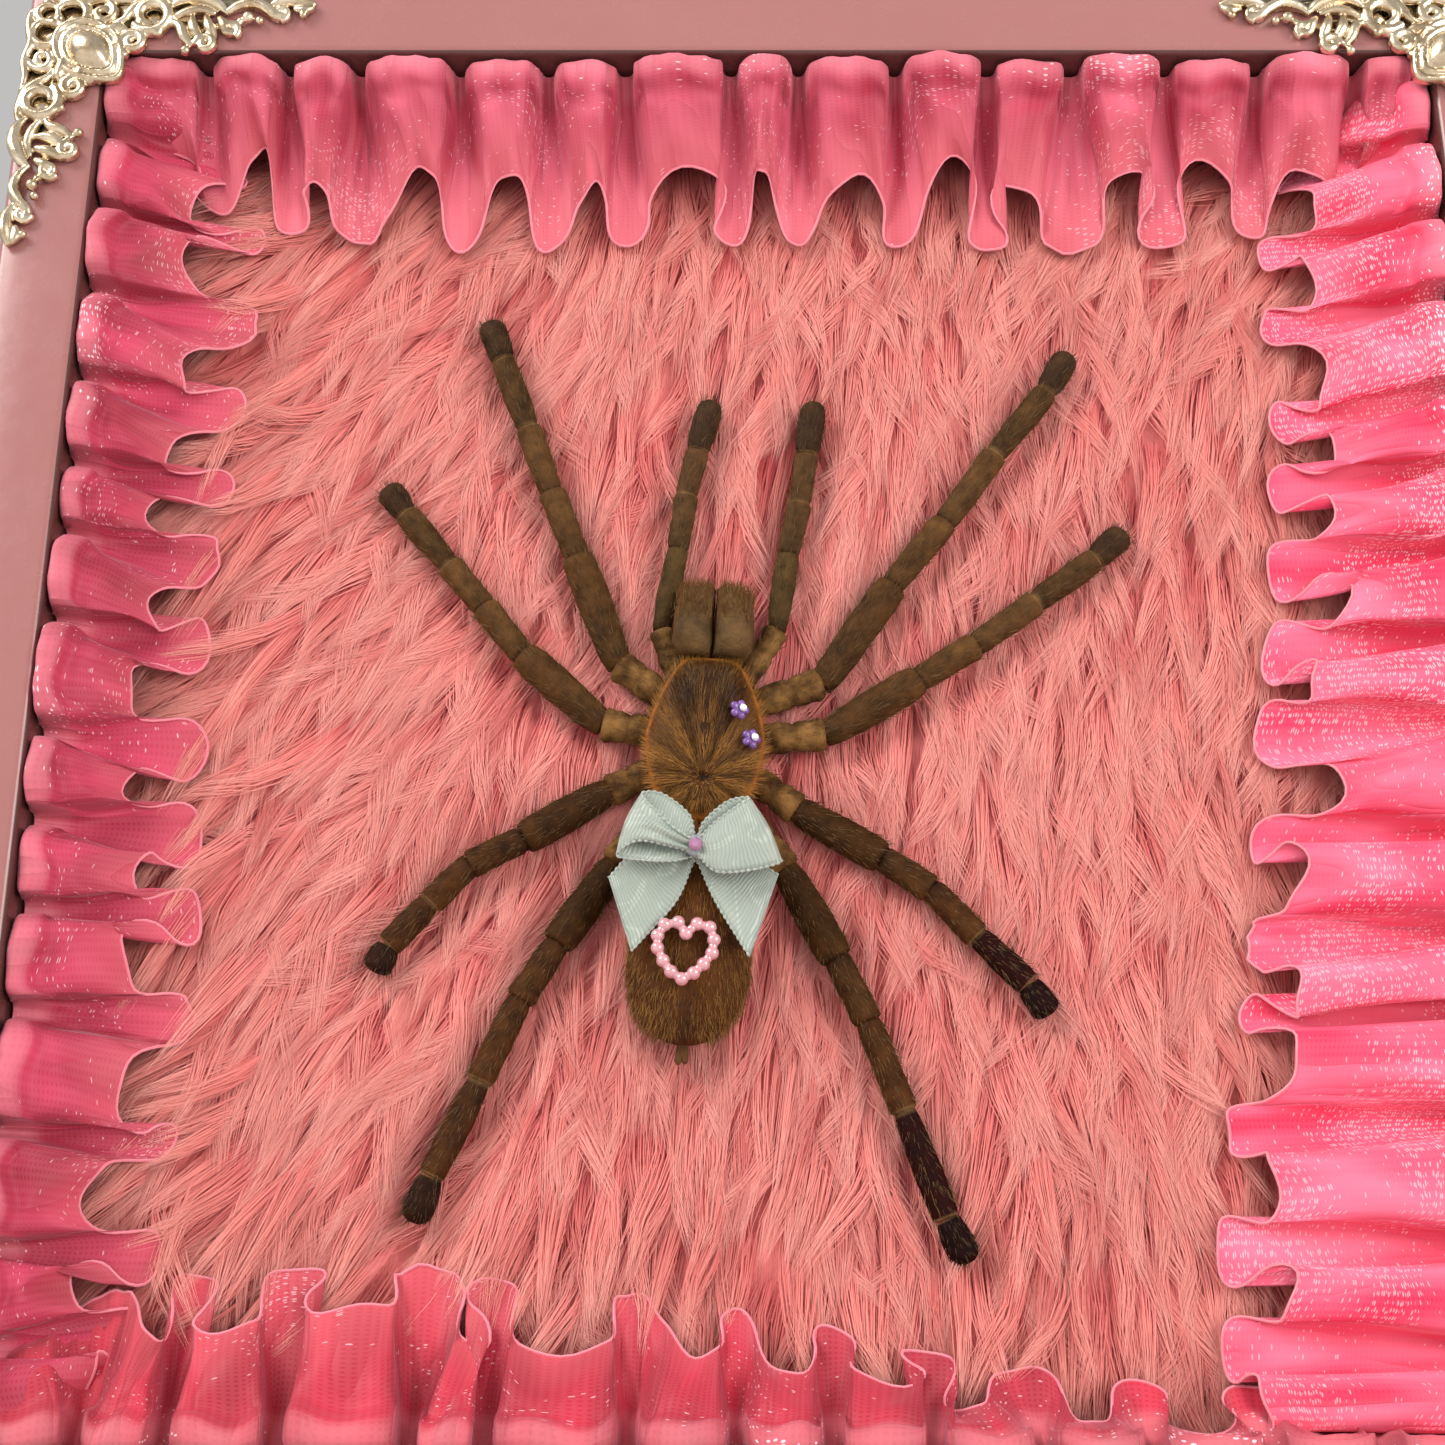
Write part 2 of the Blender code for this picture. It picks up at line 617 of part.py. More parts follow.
def bow_loops():
    """The closed band of the two loops, seen as a figure of eight lying on its side."""
    front, back = BOW_Y - 1.0 - BOW_LOOP_RISE, BOW_Y - 0.9
    centre_front, centre_back = BOW_Y - 2.0, BOW_Y - 0.9
    return [
        ((0.0, 1.1, centre_front), (0.0, -1.1, centre_front)),
        ((3.4, 4.2, front + 0.2), (2.8, -3.6, front + 0.3)),
        ((6.6, 6.4, front + 0.4), (7.6, -3.4, front + 0.5)),
        ((7.6, 6.7, (front + back) / 2), (11.5, -2.5, (front + back) / 2)),
        ((6.6, 6.3, back), (10.4, -2.6, back)),
        ((3.0, 3.8, back), (3.6, -2.6, back)),
        ((0.0, 1.1, centre_back), (0.0, -1.1, centre_back)),
        ((-2.6, 4.4, back), (-3.6, -2.4, back)),
        ((-6.0, 7.2, back), (-9.4, -1.4, back)),
        ((-7.4, 7.2, (front + back) / 2), (-10.6, -1.3, (front + back) / 2)),
        ((-6.4, 5.8, front + 0.5), (-8.4, -1.2, front + 0.5)),
        ((-3.2, 2.8, front + 0.3), (-3.6, -2.0, front + 0.3)),
    ]


def bow_tails():
    """The two tails behind the loops, cut off slantwise."""
    return [
        ((-11.8, -4.0, BOW_Y), (-8.6, -14.1, BOW_Y)),
        ((-8.6, -1.2, BOW_Y), (-2.8, -7.4, BOW_Y)),
        ((-2.0, 0.8, BOW_Y), (-0.4, -2.0, BOW_Y)),
        ((2.0, 0.8, BOW_Y), (0.4, -2.0, BOW_Y)),
        ((8.2, -1.6, BOW_Y), (2.8, -7.4, BOW_Y)),
        ((11.2, -3.6, BOW_Y), (7.3, -14.9, BOW_Y)),
    ]


def ribbon_bow():
    """Loops and tails of one ribbon, sewn together at the middle."""
    bow = ribbon_strip("ribbon_bow", bow_loops(), joined=True)
    tails = ribbon_strip("bow_tails", bow_tails())
    rings = [[on_specimen(BOW_CENTRE[0] + x * STITCH / 2, BOW_CENTRE[1] + z * STITCH / 2, y)
              for x, z in ((-1, -1), (1, -1), (1, 1), (-1, 1))] for y in (BOW_Y - 2.1, BOW_Y + 0.1)]
    stitch = node("bow_stitch", *loft(rings), ribbon())
    for piece in (tails, stitch):
        piece.hide_render = True
        piece.display_type = "WIRE"
        sewn = bow.modifiers.new(piece.name, "BOOLEAN")
        sewn.operation = "UNION"
        sewn.object = piece
    return bow


def faceted_stone(name, centre, diameter, height, finish, tilt=0.0, sides=8):
    """A flat-backed cut stone facing -Y, with a small table; tilt turns it about the up axis."""
    rings = []
    for share, rise in ((0.92, 0.0), (1.0, 0.3), (0.55, 1.0)):
        ring = []
        for i in range(sides):
            turn = math.tau * i / sides
            across, up = (diameter / 2 * share * part for part in (math.cos(turn), math.sin(turn)))
            out = rise * height
            ring.append((centre[0] + across * math.cos(tilt) + out * math.sin(tilt),
                         centre[1] - out * math.cos(tilt) + across * math.sin(tilt), centre[2] + up))
        rings.append(ring)
    return node(name, *loft(rings), finish, math.radians(10))


def heart_beads():
    """Centres of the fourteen pearls, as (across, up), clockwise from the dip."""
    return [(-2.7, -32.3), (-1.2, -30.9), (0.6, -31.4), (1.2, -33.2), (0.9, -35.1), (-0.2, -36.8), (-1.6, -38.0),
            (-3.3, -39.0), (-4.8, -37.9), (-5.8, -36.3), (-6.6, -34.4), (-6.6, -32.6), (-5.6, -30.9), (-3.8, -30.6)]


def pearl_heart():
    """A closed string of fused half-round pearls in the shape of a heart."""
    beads = [Vector(on_specimen(*bead, PEARL_HEART_Y)) for bead in heart_beads()]
    rings = []
    for index, bead in enumerate(beads):
        before, after = beads[index - 1], beads[(index + 1) % len(beads)]
        direction = (after - before).normalized()
        enter, leave = (bead - before).normalized(), (after - bead).normalized()
        for spot, radius in (((before + bead) / 2, PEARL_NECK), (bead - enter * 0.62, 0.76 * PEARL / 2),
                             (bead, PEARL / 2), (bead + leave * 0.62, 0.76 * PEARL / 2)):
            way = enter if radius == PEARL_NECK else direction
            side = way.cross(Vector((0, 1, 0))).normalized()
            rings.append([tuple(spot + side * (radius * math.cos(turn)) + Vector((0, radius * math.sin(turn), 0)))
                          for turn in (math.tau * i / 5 for i in range(5))])
    return node("pearl_heart", *loft(rings, joined=True), pearl())


def flower_spot(spot):
    """Centre of a flower's back on the slope of the carapace, and the turn that lays it there."""
    across, along = turned(*spot, -BODY_TILT)
    share = min(0.9, abs(across) / (CARAPACE_WIDTH / 2))
    tilt = math.radians(18 + 12 * share)
    y = carapace_y(share, along) - GAP - FLOWER / 2 * math.sin(tilt) * 0.7
    return on_specimen(*spot, y), tilt


def flower_gem(name, spot):
    """A five-petalled flower of clear plastic."""
    centre, tilt = flower_spot(spot)
    rings = []
    for share, rise in ((0.9, 0.0), (1.0, 0.4), (0.5, 0.8)):
        ring = []
        for i in range(4 * PETALS):
            turn = math.tau * i / (4 * PETALS)
            reach = FLOWER / 2 * share * (0.5 + 0.5 * abs(math.cos(PETALS / 2 * turn)))
            across, up = reach * math.cos(turn), reach * math.sin(turn)
            ring.append((centre[0] + across * math.cos(tilt) + rise * math.sin(tilt),
                         centre[1] - rise * math.cos(tilt) + across * math.sin(tilt), centre[2] + up))
        rings.append(ring)
    return node(name, *loft(rings), violet())


def flower_stone(name, spot):
    centre, tilt = flower_spot(spot)
    lift = 0.8 + GAP
    lifted = (centre[0] + lift * math.sin(tilt), centre[1] - lift * math.cos(tilt), centre[2])
    return faceted_stone(name, lifted, STONE, 0.5, crystal(), tilt)


def build():
    clear_scene()
    for side in ("top", "bottom", "left", "right"):
        rail(f"frame_rail_{side}", side)
        ruffle(f"ruffle_{side}", side)
    backing_board()
    plate = openwork("filigree_plate")
    for vertical in ("top", "bottom"):
        for horizontal in ("left", "right"):
            filigree_corner(f"corner_{vertical}_{horizontal}", horizontal, vertical, plate)
    fur_panel()
    carapace()
    abdomen()
    spinnerets()
    chelicera("chelicera_left", -1)
    chelicera("chelicera_right", 1)
    for name, joints in LEG_JOINTS.items():
        limb(name, joints + [hip(name)], LEG_WIDTHS, LEG_DEPTHS)
    for name, joints in PALP_JOINTS.items():
        limb(name, joints + [hip(name)], PALP_WIDTHS, PALP_DEPTHS)
    ribbon_bow()
    gem_at = on_specimen(*BOW_CENTRE, BOW_Y - BOW_GEM_BACK)
    faceted_stone("bow_gem", gem_at, BOW_GEM, 1.1, lilac())
    pearl_heart()
    for place, spot in FLOWER_SPOTS.items():
        flower_gem(f"flower_gem_{place}", spot)
        flower_stone(f"flower_stone_{place}", spot)


build()
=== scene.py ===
# %% [markdown]
# # A framed tarantula specimen
#
# The object is a small shadow box: a square frame in glossy rose paint, cast metal corners, a bed of combed
# faux fur, a gathered organza ruffle round the inside, and a spread dry tarantula dressed with a ribbon bow.
# The solids of every piece are loaded first and stay where they are. Each cell then makes one piece or one
# finish, in the solids' own place and in metres.

# %% Load the solids
import math

import bpy
import numpy as np
from mathutils import Matrix, Vector, noise


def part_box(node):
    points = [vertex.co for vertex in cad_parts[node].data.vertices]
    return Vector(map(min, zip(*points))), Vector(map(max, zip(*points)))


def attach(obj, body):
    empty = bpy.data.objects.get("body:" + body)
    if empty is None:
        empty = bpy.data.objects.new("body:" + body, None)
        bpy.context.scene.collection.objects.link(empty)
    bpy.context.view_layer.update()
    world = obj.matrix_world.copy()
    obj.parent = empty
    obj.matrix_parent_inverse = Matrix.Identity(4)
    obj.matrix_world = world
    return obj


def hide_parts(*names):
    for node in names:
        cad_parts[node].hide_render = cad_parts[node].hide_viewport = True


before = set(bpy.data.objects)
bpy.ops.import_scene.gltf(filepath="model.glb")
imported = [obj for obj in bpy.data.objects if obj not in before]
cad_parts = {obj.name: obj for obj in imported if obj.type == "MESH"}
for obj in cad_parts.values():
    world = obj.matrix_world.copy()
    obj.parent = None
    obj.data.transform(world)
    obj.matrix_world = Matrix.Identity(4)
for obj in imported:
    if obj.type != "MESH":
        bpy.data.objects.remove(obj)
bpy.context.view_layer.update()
MM = 0.001
print("solids:", len(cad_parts))


# %% [markdown]
# ## Measures
#
# A few driving sizes describe the box. The opening is the inside of the four rails, and everything soft is
# placed from it. They are read from the solids where a solid has them.

# %% Measures of the box
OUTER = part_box("frame_rail_top")[1][2]                    # height and width of the whole frame
HALF = OUTER / 2
FACE_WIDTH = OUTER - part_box("frame_rail_top")[0][2]       # width of a rail's face
INNER = HALF - FACE_WIDTH                                 # from the middle to the wall of the opening
MIDDLE_Z = HALF
FACE_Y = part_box("frame_rail_top")[0][1]
BACK_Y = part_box("frame_rail_top")[1][1]
GAP = 0.3 * MM
SPECIMEN_X, SPECIMEN_Z = -9.2 * MM, 110.8 * MM            # middle of the spider's carapace
BODY_TILT = math.radians(3.9)                             # its body leans to the right at the head
print(f"frame {OUTER / MM:.1f} mm, opening {2 * INNER / MM:.1f} mm, face at y {FACE_Y / MM:.1f} mm")


# %% [markdown]
# ## Camera
#
# The photograph was taken from just in front of the lower edge, looking up at the specimen, so the upright
# sides of the frame draw together towards the bottom of the picture. A camera at that place with the lens
# that the perspective asks for gives the same picture with no shift.

# %% Camera
CAMERA_PLACE = (-0.00696, -0.28187, 0.01358)
CAMERA_TILT = math.radians(109.244)
LENS, SENSOR = 51.73, 36.0                                # millimetres
bpy.ops.object.select_all(action="DESELECT")
bpy.ops.object.camera_add(location=CAMERA_PLACE, rotation=(CAMERA_TILT, 0, 0))
camera = bpy.context.object
camera.data.lens = LENS
camera.data.sensor_width = SENSOR
camera.data.clip_start = 0.01
bpy.context.scene.camera = camera
bpy.context.scene.view_settings.view_transform = "Standard"     # colours are shown as they are


# %% [markdown]
# ## Helpers for meshes
#
# The rails, the beads, the pearls and the ground of the fur start as primitives, which are shaped in edit
# mode or joined. Cloth, hair and the specimen's shells follow formulas, so their points are worked out as
# arrays and handed to a mesh. Both ways end in an object at the origin.

# %% Mesh helpers
def deselect():
    bpy.ops.object.select_all(action="DESELECT")


def activate(obj):
    """Makes obj the only selected object and the active one."""
    deselect()
    obj.select_set(True)
    bpy.context.view_layer.objects.active = obj
    return obj


def settle(obj, name=None):
    """Puts the object's place, turn and scale into its mesh, and names it."""
    activate(obj)
    bpy.ops.object.transform_apply(location=True, rotation=True, scale=True)
    if name:
        obj.name = name
        obj.data.name = name
    return obj


def edit(kind="VERT", action="SELECT"):
    """Goes into edit mode on the active object with everything, or nothing, selected."""
    bpy.ops.object.mode_set(mode="EDIT")
    bpy.ops.mesh.select_mode(type=kind)
    bpy.ops.mesh.select_all(action=action)


def leave_edit():
    bpy.ops.object.mode_set(mode="OBJECT")


def finish_modifiers(obj):
    """Applies every modifier of obj in turn."""
    activate(obj)
    for modifier in list(obj.modifiers):
        bpy.ops.object.modifier_apply(modifier=modifier.name)
    return obj


def join(objects, name):
    """Joins objects into the first of them."""
    activate(objects[0])
    for obj in objects[1:]:
        obj.select_set(True)
    bpy.ops.object.join()
    objects[0].name = name
    objects[0].data.name = name
    return objects[0]


def shown(name, data, uv=None):
    """An object around a mesh or a curve. With a surface map, uv (corners, 2), it is also shaded smooth."""
    if uv is not None:
        layer = data.uv_layers.new(name="surface")
        layer.data.foreach_set("uv", np.ascontiguousarray(uv, np.float32).ravel())
        data.shade_smooth()
    data.name = name
    obj = bpy.data.objects.new(name, data)
    bpy.context.scene.collection.objects.link(obj)
    return obj


def array_mesh(name, points, faces, uv):
    """An object from arrays: points (n, 3) in metres, faces (m, corners), and uv (n, 2) for each point."""
    mesh = bpy.data.meshes.new(name)
    corners = faces.shape[1]
    mesh.vertices.add(len(points))
    mesh.vertices.foreach_set("co", np.ascontiguousarray(points, np.float32).ravel())
    mesh.loops.add(faces.size)
    mesh.loops.foreach_set("vertex_index", np.ascontiguousarray(faces, np.int32).ravel())
    mesh.polygons.add(len(faces))
    mesh.polygons.foreach_set("loop_start", np.arange(0, faces.size, corners, dtype=np.int32))
    mesh.update(calc_edges=True)
    return shown(name, mesh, uv[faces.ravel()])


def grid_faces(rows, columns, closed=False):
    """Quads over a grid of points, row by row. A closed grid joins its last column to its first."""
    row = np.arange(rows - 1)[:, None] * columns
    column = np.arange(columns if closed else columns - 1)[None, :]
    after = (column + 1) % columns
    quads = np.stack([row + column, row + after, row + columns + after, row + columns + column], axis=-1)
    return quads.reshape(-1, 4)


def grid_mesh(name, points, cloth):
    """A sheet through points (rows, columns, 3). cloth (rows, columns, 2) is its surface map."""
    return array_mesh(name, points.reshape(-1, 3), grid_faces(*points.shape[:2]), cloth.reshape(-1, 2))


def smooth_step(low, high, value):
    """0 at low and 1 at high, with a soft start and end."""
    share = np.clip((value - low) / (high - low), 0.0, 1.0)
    return share * share * (3 - 2 * share)


def curve_through(knots, values, share):
    """A smooth curve through values at knots, read at each share."""
    knots, values = np.array(knots), np.array(values)
    slopes = np.gradient(values, knots)
    index = np.clip(np.searchsorted(knots, share, side="right") - 1, 0, len(knots) - 2)
    span = knots[index + 1] - knots[index]
    place = (share - knots[index]) / span
    from_start = (1 + 2 * place) * (1 - place) ** 2 * values[index]
    from_end = place ** 2 * (3 - 2 * place) * values[index + 1]
    lead_out = place * (1 - place) ** 2 * span * slopes[index]
    lead_in = place ** 2 * (place - 1) * span * slopes[index + 1]
    return from_start + lead_out + from_end + lead_in


FORWARD = np.array([0.0, -1.0, 0.0])            # out of the picture, where the front of the part looks


def unit(vectors):
    """Vectors along the last axis, brought to length one."""
    return vectors / (np.linalg.norm(vectors, axis=-1, keepdims=True) + 1e-12)


def arc_length(line):
    """The way from the start of a line of points (n, 3) to each of them."""
    return np.concatenate([[0], np.cumsum(np.linalg.norm(np.diff(line, axis=0), axis=1))])


def loft(name, rings, along):
    """A closed shell through rings (n, m, 3). along (n,) goes to the map's V, and U runs once round."""
    count, sides, _ = rings.shape
    poles = [rings[0].mean(axis=0), rings[-1].mean(axis=0)]
    points = np.concatenate([rings.reshape(-1, 3), poles])
    quads = grid_faces(count, sides, closed=True)
    last = (count - 1) * sides
    step = np.arange(sides)
    after = (step + 1) % sides
    start_fan = np.stack([after, step, np.full(sides, count * sides)], axis=1)
    end_fan = np.stack([last + step, last + after, np.full(sides, count * sides + 1)], axis=1)
    faces = [face.tolist() for group in (quads, start_fan, end_fan) for face in group]
    mesh = bpy.data.meshes.new(name)
    mesh.from_pydata(points.tolist(), [], faces)
    row = np.repeat(np.arange(count - 1), sides)
    column = np.tile(step, count - 1)
    quad_u = np.stack([column, column + 1, column + 1, column], axis=1) / sides
    quad_v = np.stack([along[row], along[row], along[row + 1], along[row + 1]], axis=1)
    fan_u = np.stack([step + 1, step, step + 0.5], axis=1) / sides
    fans_u = np.concatenate([fan_u.ravel(), fan_u[:, [1, 0, 2]].ravel()])
    fans_v = np.concatenate([np.full(3 * sides, along[0]), np.full(3 * sides, along[-1])])
    u = np.concatenate([quad_u.ravel(), fans_u])
    v = np.concatenate([quad_v.ravel(), fans_v])
    return shown(name, mesh, np.stack([u, v], axis=1))


def dress(obj, finish, slot, *nodes):
    """Gives a piece its material, the body it rides on and the solids it stands for. slot is not used."""
    obj.data.materials.clear()
    obj.data.materials.append(finish)
    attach(obj, "root")
    if nodes:
        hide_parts(*nodes)
    return obj


# %% [markdown]
# ## Helpers for materials
#
# A material here is a Principled shader with patterns wired into it. `add` places a node with its settings
# and `wire` joins or fills a socket, so that each finish reads as a short recipe.

# %% Material helpers
def paint(*channels):
    """A display colour, 0 to 255 a channel, as the linear colour that a shader takes."""
    shares = [value / 255 for value in channels]
    return tuple(value / 12.92 if value <= 0.04045 else ((value + 0.055) / 1.055) ** 2.4 for value in shares)


def grey(value):
    return (value, value, value)


def add(tree, kind, settings=None, **attributes):
    """A new node of a tree. settings fill its input sockets by name or number."""
    made = tree.nodes.new(kind)
    for key, value in attributes.items():
        setattr(made, key, value)
    for key, value in (settings or {}).items():
        made.inputs[key].default_value = value
    return made


def wire(tree, value, target):
    """Joins a socket to the target socket, or fills that in with a number, a vector or a colour (r, g, b)."""
    if isinstance(value, bpy.types.NodeSocket):
        tree.links.new(value, target)
    else:
        target.default_value = (*value, 1.0) if target.type == "RGBA" and len(value) == 3 else value


def new_finish(name, **sockets):
    """(material, tree, Principled shader) with the shader's plain sockets filled in."""
    made = bpy.data.materials.new(name)
    made.use_nodes = True
    shader = made.node_tree.nodes["Principled BSDF"]
    for key, value in sockets.items():
        wire(made.node_tree, value, shader.inputs[key.replace("_", " ")])
    return made, made.node_tree, shader


def ramp(tree, factor, stops):
    """A colour ramp over (position, colour) stops; a colour is (r, g, b)."""
    node = add(tree, "ShaderNodeValToRGB")
    band = node.color_ramp
    while len(band.elements) < len(stops):
        band.elements.new(0.5)
    for element, (position, colour) in zip(band.elements, stops):
        element.position = position
        element.color = (*colour, 1.0)
    wire(tree, factor, node.inputs["Fac"])
    return node.outputs["Color"]


def math_node(tree, operation, first, second=0.0, clamp=False):
    """One arithmetic step. Either side may be a socket or a number."""
    node = add(tree, "ShaderNodeMath", operation=operation, use_clamp=clamp)
    for socket, value in zip(node.inputs, (first, second)):
        wire(tree, value, socket)
    return node.outputs[0]


def blend_colours(tree, factor, first, second, mode="MIX"):
    """Mixes two colours. A colour may be a socket or (r, g, b), and the factor a socket or a number."""
    node = add(tree, "ShaderNodeMix", data_type="RGBA", blend_type=mode)       # 0, 6, 7: factor and colours
    for index, value in ((0, factor), (6, first), (7, second)):
        wire(tree, value, node.inputs[index])
    return node.outputs[2]


def new_group(name, inputs, outputs):
    """(tree, input node, output node) of a node group. inputs are (name, default), outputs (name, kind)."""
    tree = bpy.data.node_groups.new(name, "ShaderNodeTree")
    for label, value in inputs:
        kind = {3: "Vector", 4: "Color"}[len(value)] if isinstance(value, tuple) else "Float"
        socket = tree.interface.new_socket(name=label, in_out="INPUT", socket_type=f"NodeSocket{kind}")
        socket.default_value = value
    for label, kind in outputs:
        tree.interface.new_socket(name=label, in_out="OUTPUT", socket_type=f"NodeSocket{kind}")
    return tree, add(tree, "NodeGroupInput"), add(tree, "NodeGroupOutput")


def use_group(tree, group, **values):
    """Places a node group. A value may be a socket or a plain number, vector or colour."""
    node = add(tree, "ShaderNodeGroup", node_tree=group)
    for key, value in values.items():
        wire(tree, value, node.inputs[key])
    return node


def axes(tree, vector):
    """The three parts of a vector."""
    split = add(tree, "ShaderNodeSeparateXYZ")
    wire(tree, vector, split.inputs[0])
    return split.outputs


def object_place(tree):
    return add(tree, "ShaderNodeTexCoord").outputs["Object"]


def surface_map(tree):
    """A piece's surface map, and its parts U and V."""
    place = add(tree, "ShaderNodeUVMap", uv_map="surface").outputs[0]
    return place, *axes(tree, place)[:2]


def scaled(tree, vector, scale):
    """A vector with each of its parts scaled."""
    node = add(tree, "ShaderNodeMapping", {"Scale": scale})
    wire(tree, vector, node.inputs["Vector"])
    return node.outputs[0]


# %% [markdown]
# ## Shared effects
#
# Four effects come back in several finishes: fine grain, mottled colour, woven threads and sparkles in
# loose rows. Each is a node group that is built once and placed with its own values. A group hands out only
# colours, masks and heights, and the shaders stay in the materials.

# %% Effect: fine grain as a height
def build_grain():
    """Height of a fine irregular surface: two sizes of noise added together."""
    tree, given, result = new_group("fine grain", [("Vector", (0.0, 0.0, 0.0)), ("Scale", 800.0)],
                                    [("Height", "Float")])
    coarser, weight = 0.22, 1.4                    # scale and share of the larger noise
    small = add(tree, "ShaderNodeTexNoise", {"Detail": 3.0, "Roughness": 0.6})
    large = add(tree, "ShaderNodeTexNoise", {"Detail": 2.0})
    wire(tree, given.outputs["Vector"], small.inputs["Vector"])
    wire(tree, given.outputs["Vector"], large.inputs["Vector"])
    wire(tree, given.outputs["Scale"], small.inputs["Scale"])
    wire(tree, math_node(tree, "MULTIPLY", given.outputs["Scale"], coarser), large.inputs["Scale"])
    lumps = math_node(tree, "MULTIPLY", large.outputs["Fac"], weight)
    wire(tree, math_node(tree, "ADD", small.outputs["Fac"], lumps), result.inputs["Height"])
    return tree


# %% Effect: mottled colour
def build_mottle():
    """A colour that wanders between two tones."""
    tree, given, result = new_group(
        "mottled colour",
        [("Vector", (0.0, 0.0, 0.0)), ("Scale", 60.0), ("Contrast", 1.6), ("Dark", (0.0, 0.0, 0.0, 1.0)),
         ("Light", (1.0, 1.0, 1.0, 1.0))],
        [("Color", "Color")])
    cloud = add(tree, "ShaderNodeTexNoise", {"Detail": 5.0, "Roughness": 0.62})
    wire(tree, given.outputs["Vector"], cloud.inputs["Vector"])
    wire(tree, given.outputs["Scale"], cloud.inputs["Scale"])
    centred = math_node(tree, "SUBTRACT", cloud.outputs["Fac"], 0.5)
    spread = math_node(tree, "MULTIPLY", centred, given.outputs["Contrast"])
    mask = math_node(tree, "ADD", spread, 0.5, clamp=True)
    mixed = blend_colours(tree, mask, given.outputs["Dark"], given.outputs["Light"])
    wire(tree, mixed, result.inputs["Color"])
    return tree


# %% Effect: woven threads
def build_weave():
    """Height of a plain weave on a surface map in metres: threads across and along at one pitch."""
    tree, given, result = new_group("woven threads", [("Vector", (0.0, 0.0, 0.0)), ("Pitch", 0.0004)],
                                    [("Height", "Float")])
    heights = []
    for axis in axes(tree, given.outputs["Vector"])[:2]:
        turns = math_node(tree, "DIVIDE", axis, given.outputs["Pitch"])
        swing = math_node(tree, "SINE", math_node(tree, "MULTIPLY", turns, math.tau))
        heights.append(math_node(tree, "ABSOLUTE", swing))
    wire(tree, math_node(tree, "MAXIMUM", *heights), result.inputs["Height"])
    return tree


# %% Effect: sparkles
# The mask marks painted glints.
def build_sparkle():
    """A mask of bright specks in loose rows, gathered in drifts, on a surface map in metres."""
    tree, given, result = new_group(
        "sparkles", [("Vector", (0.0, 0.0, 0.0)), ("Speck", 0.00035), ("Amount", 0.03), ("Drift", 90.0)],
        [("Mask", "Float")])
    disorder, speck_reach = 0.45, 0.32             # of the rows, and from a cell's middle
    patchy, gain = 6.0, 64.0                       # how sharply the drifts gather, and what evens that out
    cells = add(tree, "ShaderNodeTexVoronoi", {"Randomness": disorder}, feature="F1")
    wire(tree, given.outputs["Vector"], cells.inputs["Vector"])
    wire(tree, math_node(tree, "DIVIDE", 1.0, given.outputs["Speck"]), cells.inputs["Scale"])
    lot = add(tree, "ShaderNodeSeparateColor")
    wire(tree, cells.outputs["Color"], lot.inputs[0])
    drift = add(tree, "ShaderNodeTexNoise", {"Detail": 0.0})
    wire(tree, given.outputs["Vector"], drift.inputs["Vector"])
    wire(tree, given.outputs["Drift"], drift.inputs["Scale"])
    share = math_node(tree, "MULTIPLY", math_node(tree, "POWER", drift.outputs["Fac"], patchy), gain)
    limit = math_node(tree, "SUBTRACT", 1.0, math_node(tree, "MULTIPLY", share, given.outputs["Amount"]))
    chosen = math_node(tree, "GREATER_THAN", lot.outputs[0], limit)
    middle = math_node(tree, "LESS_THAN", cells.outputs["Distance"], speck_reach)
    wire(tree, math_node(tree, "MULTIPLY", chosen, middle), result.inputs["Mask"])
    return tree


GRAIN, MOTTLE, WEAVE, SPARKLE = build_grain(), build_mottle(), build_weave(), build_sparkle()
print("effects:", [group.name for group in (GRAIN, MOTTLE, WEAVE, SPARKLE)])


# %% Effects at work
def bump(tree, shader, height, strength, distance):
    """Feeds a height into the shader's normal."""
    node = add(tree, "ShaderNodeBump", {"Strength": strength, "Distance": distance})
    wire(tree, height, node.inputs["Height"])
    wire(tree, node.outputs["Normal"], shader.inputs["Normal"])


def grained(tree, shader, place, scale, strength, distance):
    """Raises a fine grain over the surface."""
    grain = use_group(tree, GRAIN, Vector=place, Scale=scale)
    bump(tree, shader, grain.outputs["Height"], strength, distance)


def mottled(tree, place, scale, contrast, dark, light):
    """A colour that wanders between two tones."""
    cloud = use_group(tree, MOTTLE, Vector=place, Scale=scale, Contrast=contrast, Dark=dark, Light=light)
    return cloud.outputs["Color"]


# %% [markdown]
# ## Frame rails
#
# The frame is four mitred lengths of painted moulding: a flat face, a softly rounded front edge on both
# sides, and a step at the back that takes the board. It is a plain extrusion, so one rail starts from a
# cube, gets its step by extruding the outer strip of its back and its round by a bevel, and is cut at both
# ends by the mitre planes. The other three are turned copies.

# %% One rail
REBATE_WIDTH, REBATE_DEPTH, EDGE_ROUND = 6.0 * MM, 6.0 * MM, 1.2 * MM
SPARE_LENGTH = 1.02              # the bar is longer than the frame, so that both mitres are cut from it
MITRE_OVERLAP = 0.05 * MM        # no light comes through the joint
SHARP = math.radians(35)


def pick(kind, parts, chosen):
    """Goes into edit mode with only those parts of the active object selected that pass the test."""
    edit(kind, "DESELECT")
    leave_edit()
    for part in parts:
        part.select = chosen(part)
    bpy.ops.object.mode_set(mode="EDIT")


def cut(point, normal, **options):
    """Cuts the active object by a plane."""
    edit()
    bpy.ops.mesh.bisect(plane_co=point, plane_no=normal, **options)
    leave_edit()


def cut_off(point, normal):
    """Removes what lies on the normal's side of a plane and closes the cut."""
    cut(point, normal, use_fill=True, clear_outer=True)


